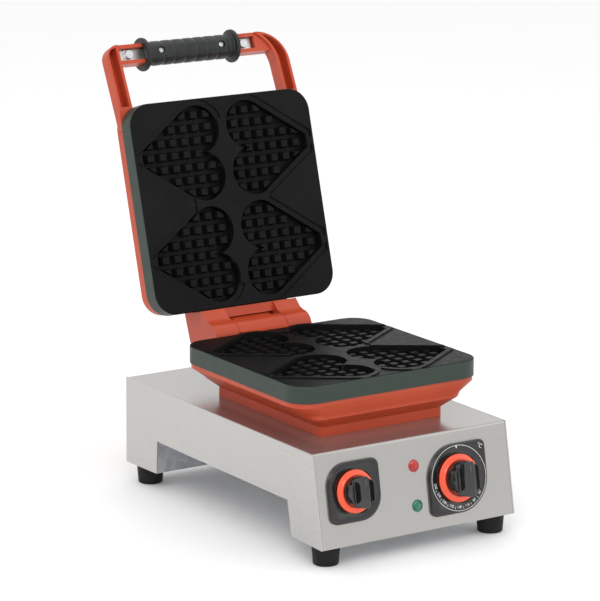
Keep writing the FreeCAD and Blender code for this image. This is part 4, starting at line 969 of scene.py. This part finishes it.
def lamp_collar(node, slot, matrix):
    """Thin round collar that the lens stands in."""
    inner = LAMP_R - LAMP_WALL
    front = LAMP_BACK + 1.5 * MM
    profile = [(inner, LAMP_BACK), (LAMP_R, LAMP_BACK), (LAMP_R, LAMP_BACK + 0.9 * MM),
               (LAMP_R - 0.5 * MM, front), (inner, front)]
    collar = lathe(node + "_collar", profile, MATERIALS[slot], 64)
    place(collar, matrix)
    settle(collar, "base", slot)


def lamp_jewel(node, slot, matrix):
    """Faceted lens; each row of corners is turned half a facet from the last."""
    bm = bmesh.new()
    loops = []
    for i, (radius, z) in enumerate(JEWEL_ROWS):
        shift = math.pi / JEWEL_FACETS * (i % 2)
        loops.append(circle(bm, radius * MM, z * MM, JEWEL_FACETS, shift))
    for lower, upper in zip(loops, loops[1:]):
        for k in range(JEWEL_FACETS):
            n = (k + 1) % JEWEL_FACETS
            bm.faces.new((lower[k], lower[n], upper[k]))
            bm.faces.new((lower[n], upper[n], upper[k]))
    tip = bm.verts.new((0, 0, JEWEL_TIP))
    for k in range(JEWEL_FACETS):
        bm.faces.new((loops[-1][k], loops[-1][(k + 1) % JEWEL_FACETS], tip))
    bmesh.ops.recalc_face_normals(bm, faces=bm.faces)
    mesh = bpy.data.meshes.new(node + "_jewel")
    bm.to_mesh(mesh)
    bm.free()
    jewel = made(node + "_jewel", mesh, MATERIALS[slot])
    place(jewel, matrix)
    settle(jewel, "base", slot, node)


def lamp(node, slot):
    """Pilot lamp on the front panel."""
    low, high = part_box(node)
    matrix = facing((low + high) / 2, JOINTS["switch_turn"]["axis"])
    lamp_collar(node, slot, matrix)
    lamp_jewel(node, slot, matrix)


# ---- Put the object together ----

def build_object():
    for node, radius in ROUNDED.items():
        softened(node, radius * MM)
    baking_plate("lower_plate", (0, 0, 1))
    baking_plate("upper_plate", (0, -math.cos(LID_LEAN), math.sin(LID_LEAN)))
    hinge_lip()
    grip()
    dial = joint_matrix("thermostat_turn")
    switch = joint_matrix("switch_turn")
    bezel("thermostat_leaf", DIAL_SIZE, dial, "thermostat_bezel")
    ring("thermostat_collar", DIAL_SIZE, dial, "thermostat_dial", "thermostat_knob_ring")
    knob("thermostat_grip", DIAL_SIZE, dial, "thermostat_dial", "thermostat_knob")
    dial_print(dial)
    bezel("switch_leaf", SWITCH_SIZE, switch, "switch_bezel")
    ring("switch_collar", SWITCH_SIZE, switch, "switch_dial", "switch_knob_ring")
    knob("switch_grip", SWITCH_SIZE, switch, "switch_dial", "switch_knob")
    lamp("red_lamp_lens", "red_lens")
    lamp("green_lamp_lens", "green_lens")
    for name, piece in frame["nodes"].items():
        piece.data.materials.clear()
        piece.data.materials.append(MATERIALS[SLOT_OF[name]])


# ---- Studio ----

def area_light(name, place_at, size, power):
    light = bpy.data.lights.new(name, "AREA")
    light.shape = "RECTANGLE"
    light.size, light.size_y = size
    light.energy = power
    holder = bpy.data.objects.new(name, light)
    holder.location = place_at
    holder.rotation_mode = "QUATERNION"
    holder.rotation_quaternion = (Vector(LIGHT_AIM) - Vector(place_at)).to_track_quat("-Z", "Y")
    bpy.context.scene.collection.objects.link(holder)


def pale_floor():
    bm = bmesh.new()
    half = FLOOR_HALF
    outline = ((-half, -half), (half, -half), (half, half), (-half, half))
    bm.faces.new([bm.verts.new((x, y, 0)) for x, y in outline])
    floor = made("floor", mesh_from("floor", bm), floor_paint())
    floor.location.z = -FLOOR_DROP


def white_world():
    world = bpy.data.worlds.new("studio")
    world.use_nodes = True
    background = world.node_tree.nodes["Background"]
    background.inputs["Color"].default_value = (1.0, 1.0, 1.0, 1.0)
    background.inputs["Strength"].default_value = 1.0
    bpy.context.scene.world = world


def studio():
    pale_floor()
    white_world()
    bpy.context.scene.view_settings.view_transform = "Standard"
    for name, place_at, size, power in LIGHTS:
        area_light(name, place_at, size, power)


def camera():
    data = bpy.data.cameras.new("camera")
    data.lens = CAMERA_LENS
    data.sensor_width = CAMERA_SENSOR
    holder = bpy.data.objects.new("camera", data)
    back = Vector((math.sin(CAMERA_AZIMUTH) * math.cos(CAMERA_ELEVATION),
                   -math.cos(CAMERA_AZIMUTH) * math.cos(CAMERA_ELEVATION),
                   math.sin(CAMERA_ELEVATION)))
    holder.location = CAMERA_TARGET + back * CAMERA_DISTANCE
    holder.rotation_mode = "QUATERNION"
    holder.rotation_quaternion = (-back).to_track_quat("-Z", "Y")
    bpy.context.scene.collection.objects.link(holder)
    bpy.context.scene.camera = holder


camera()
studio()
build_object()
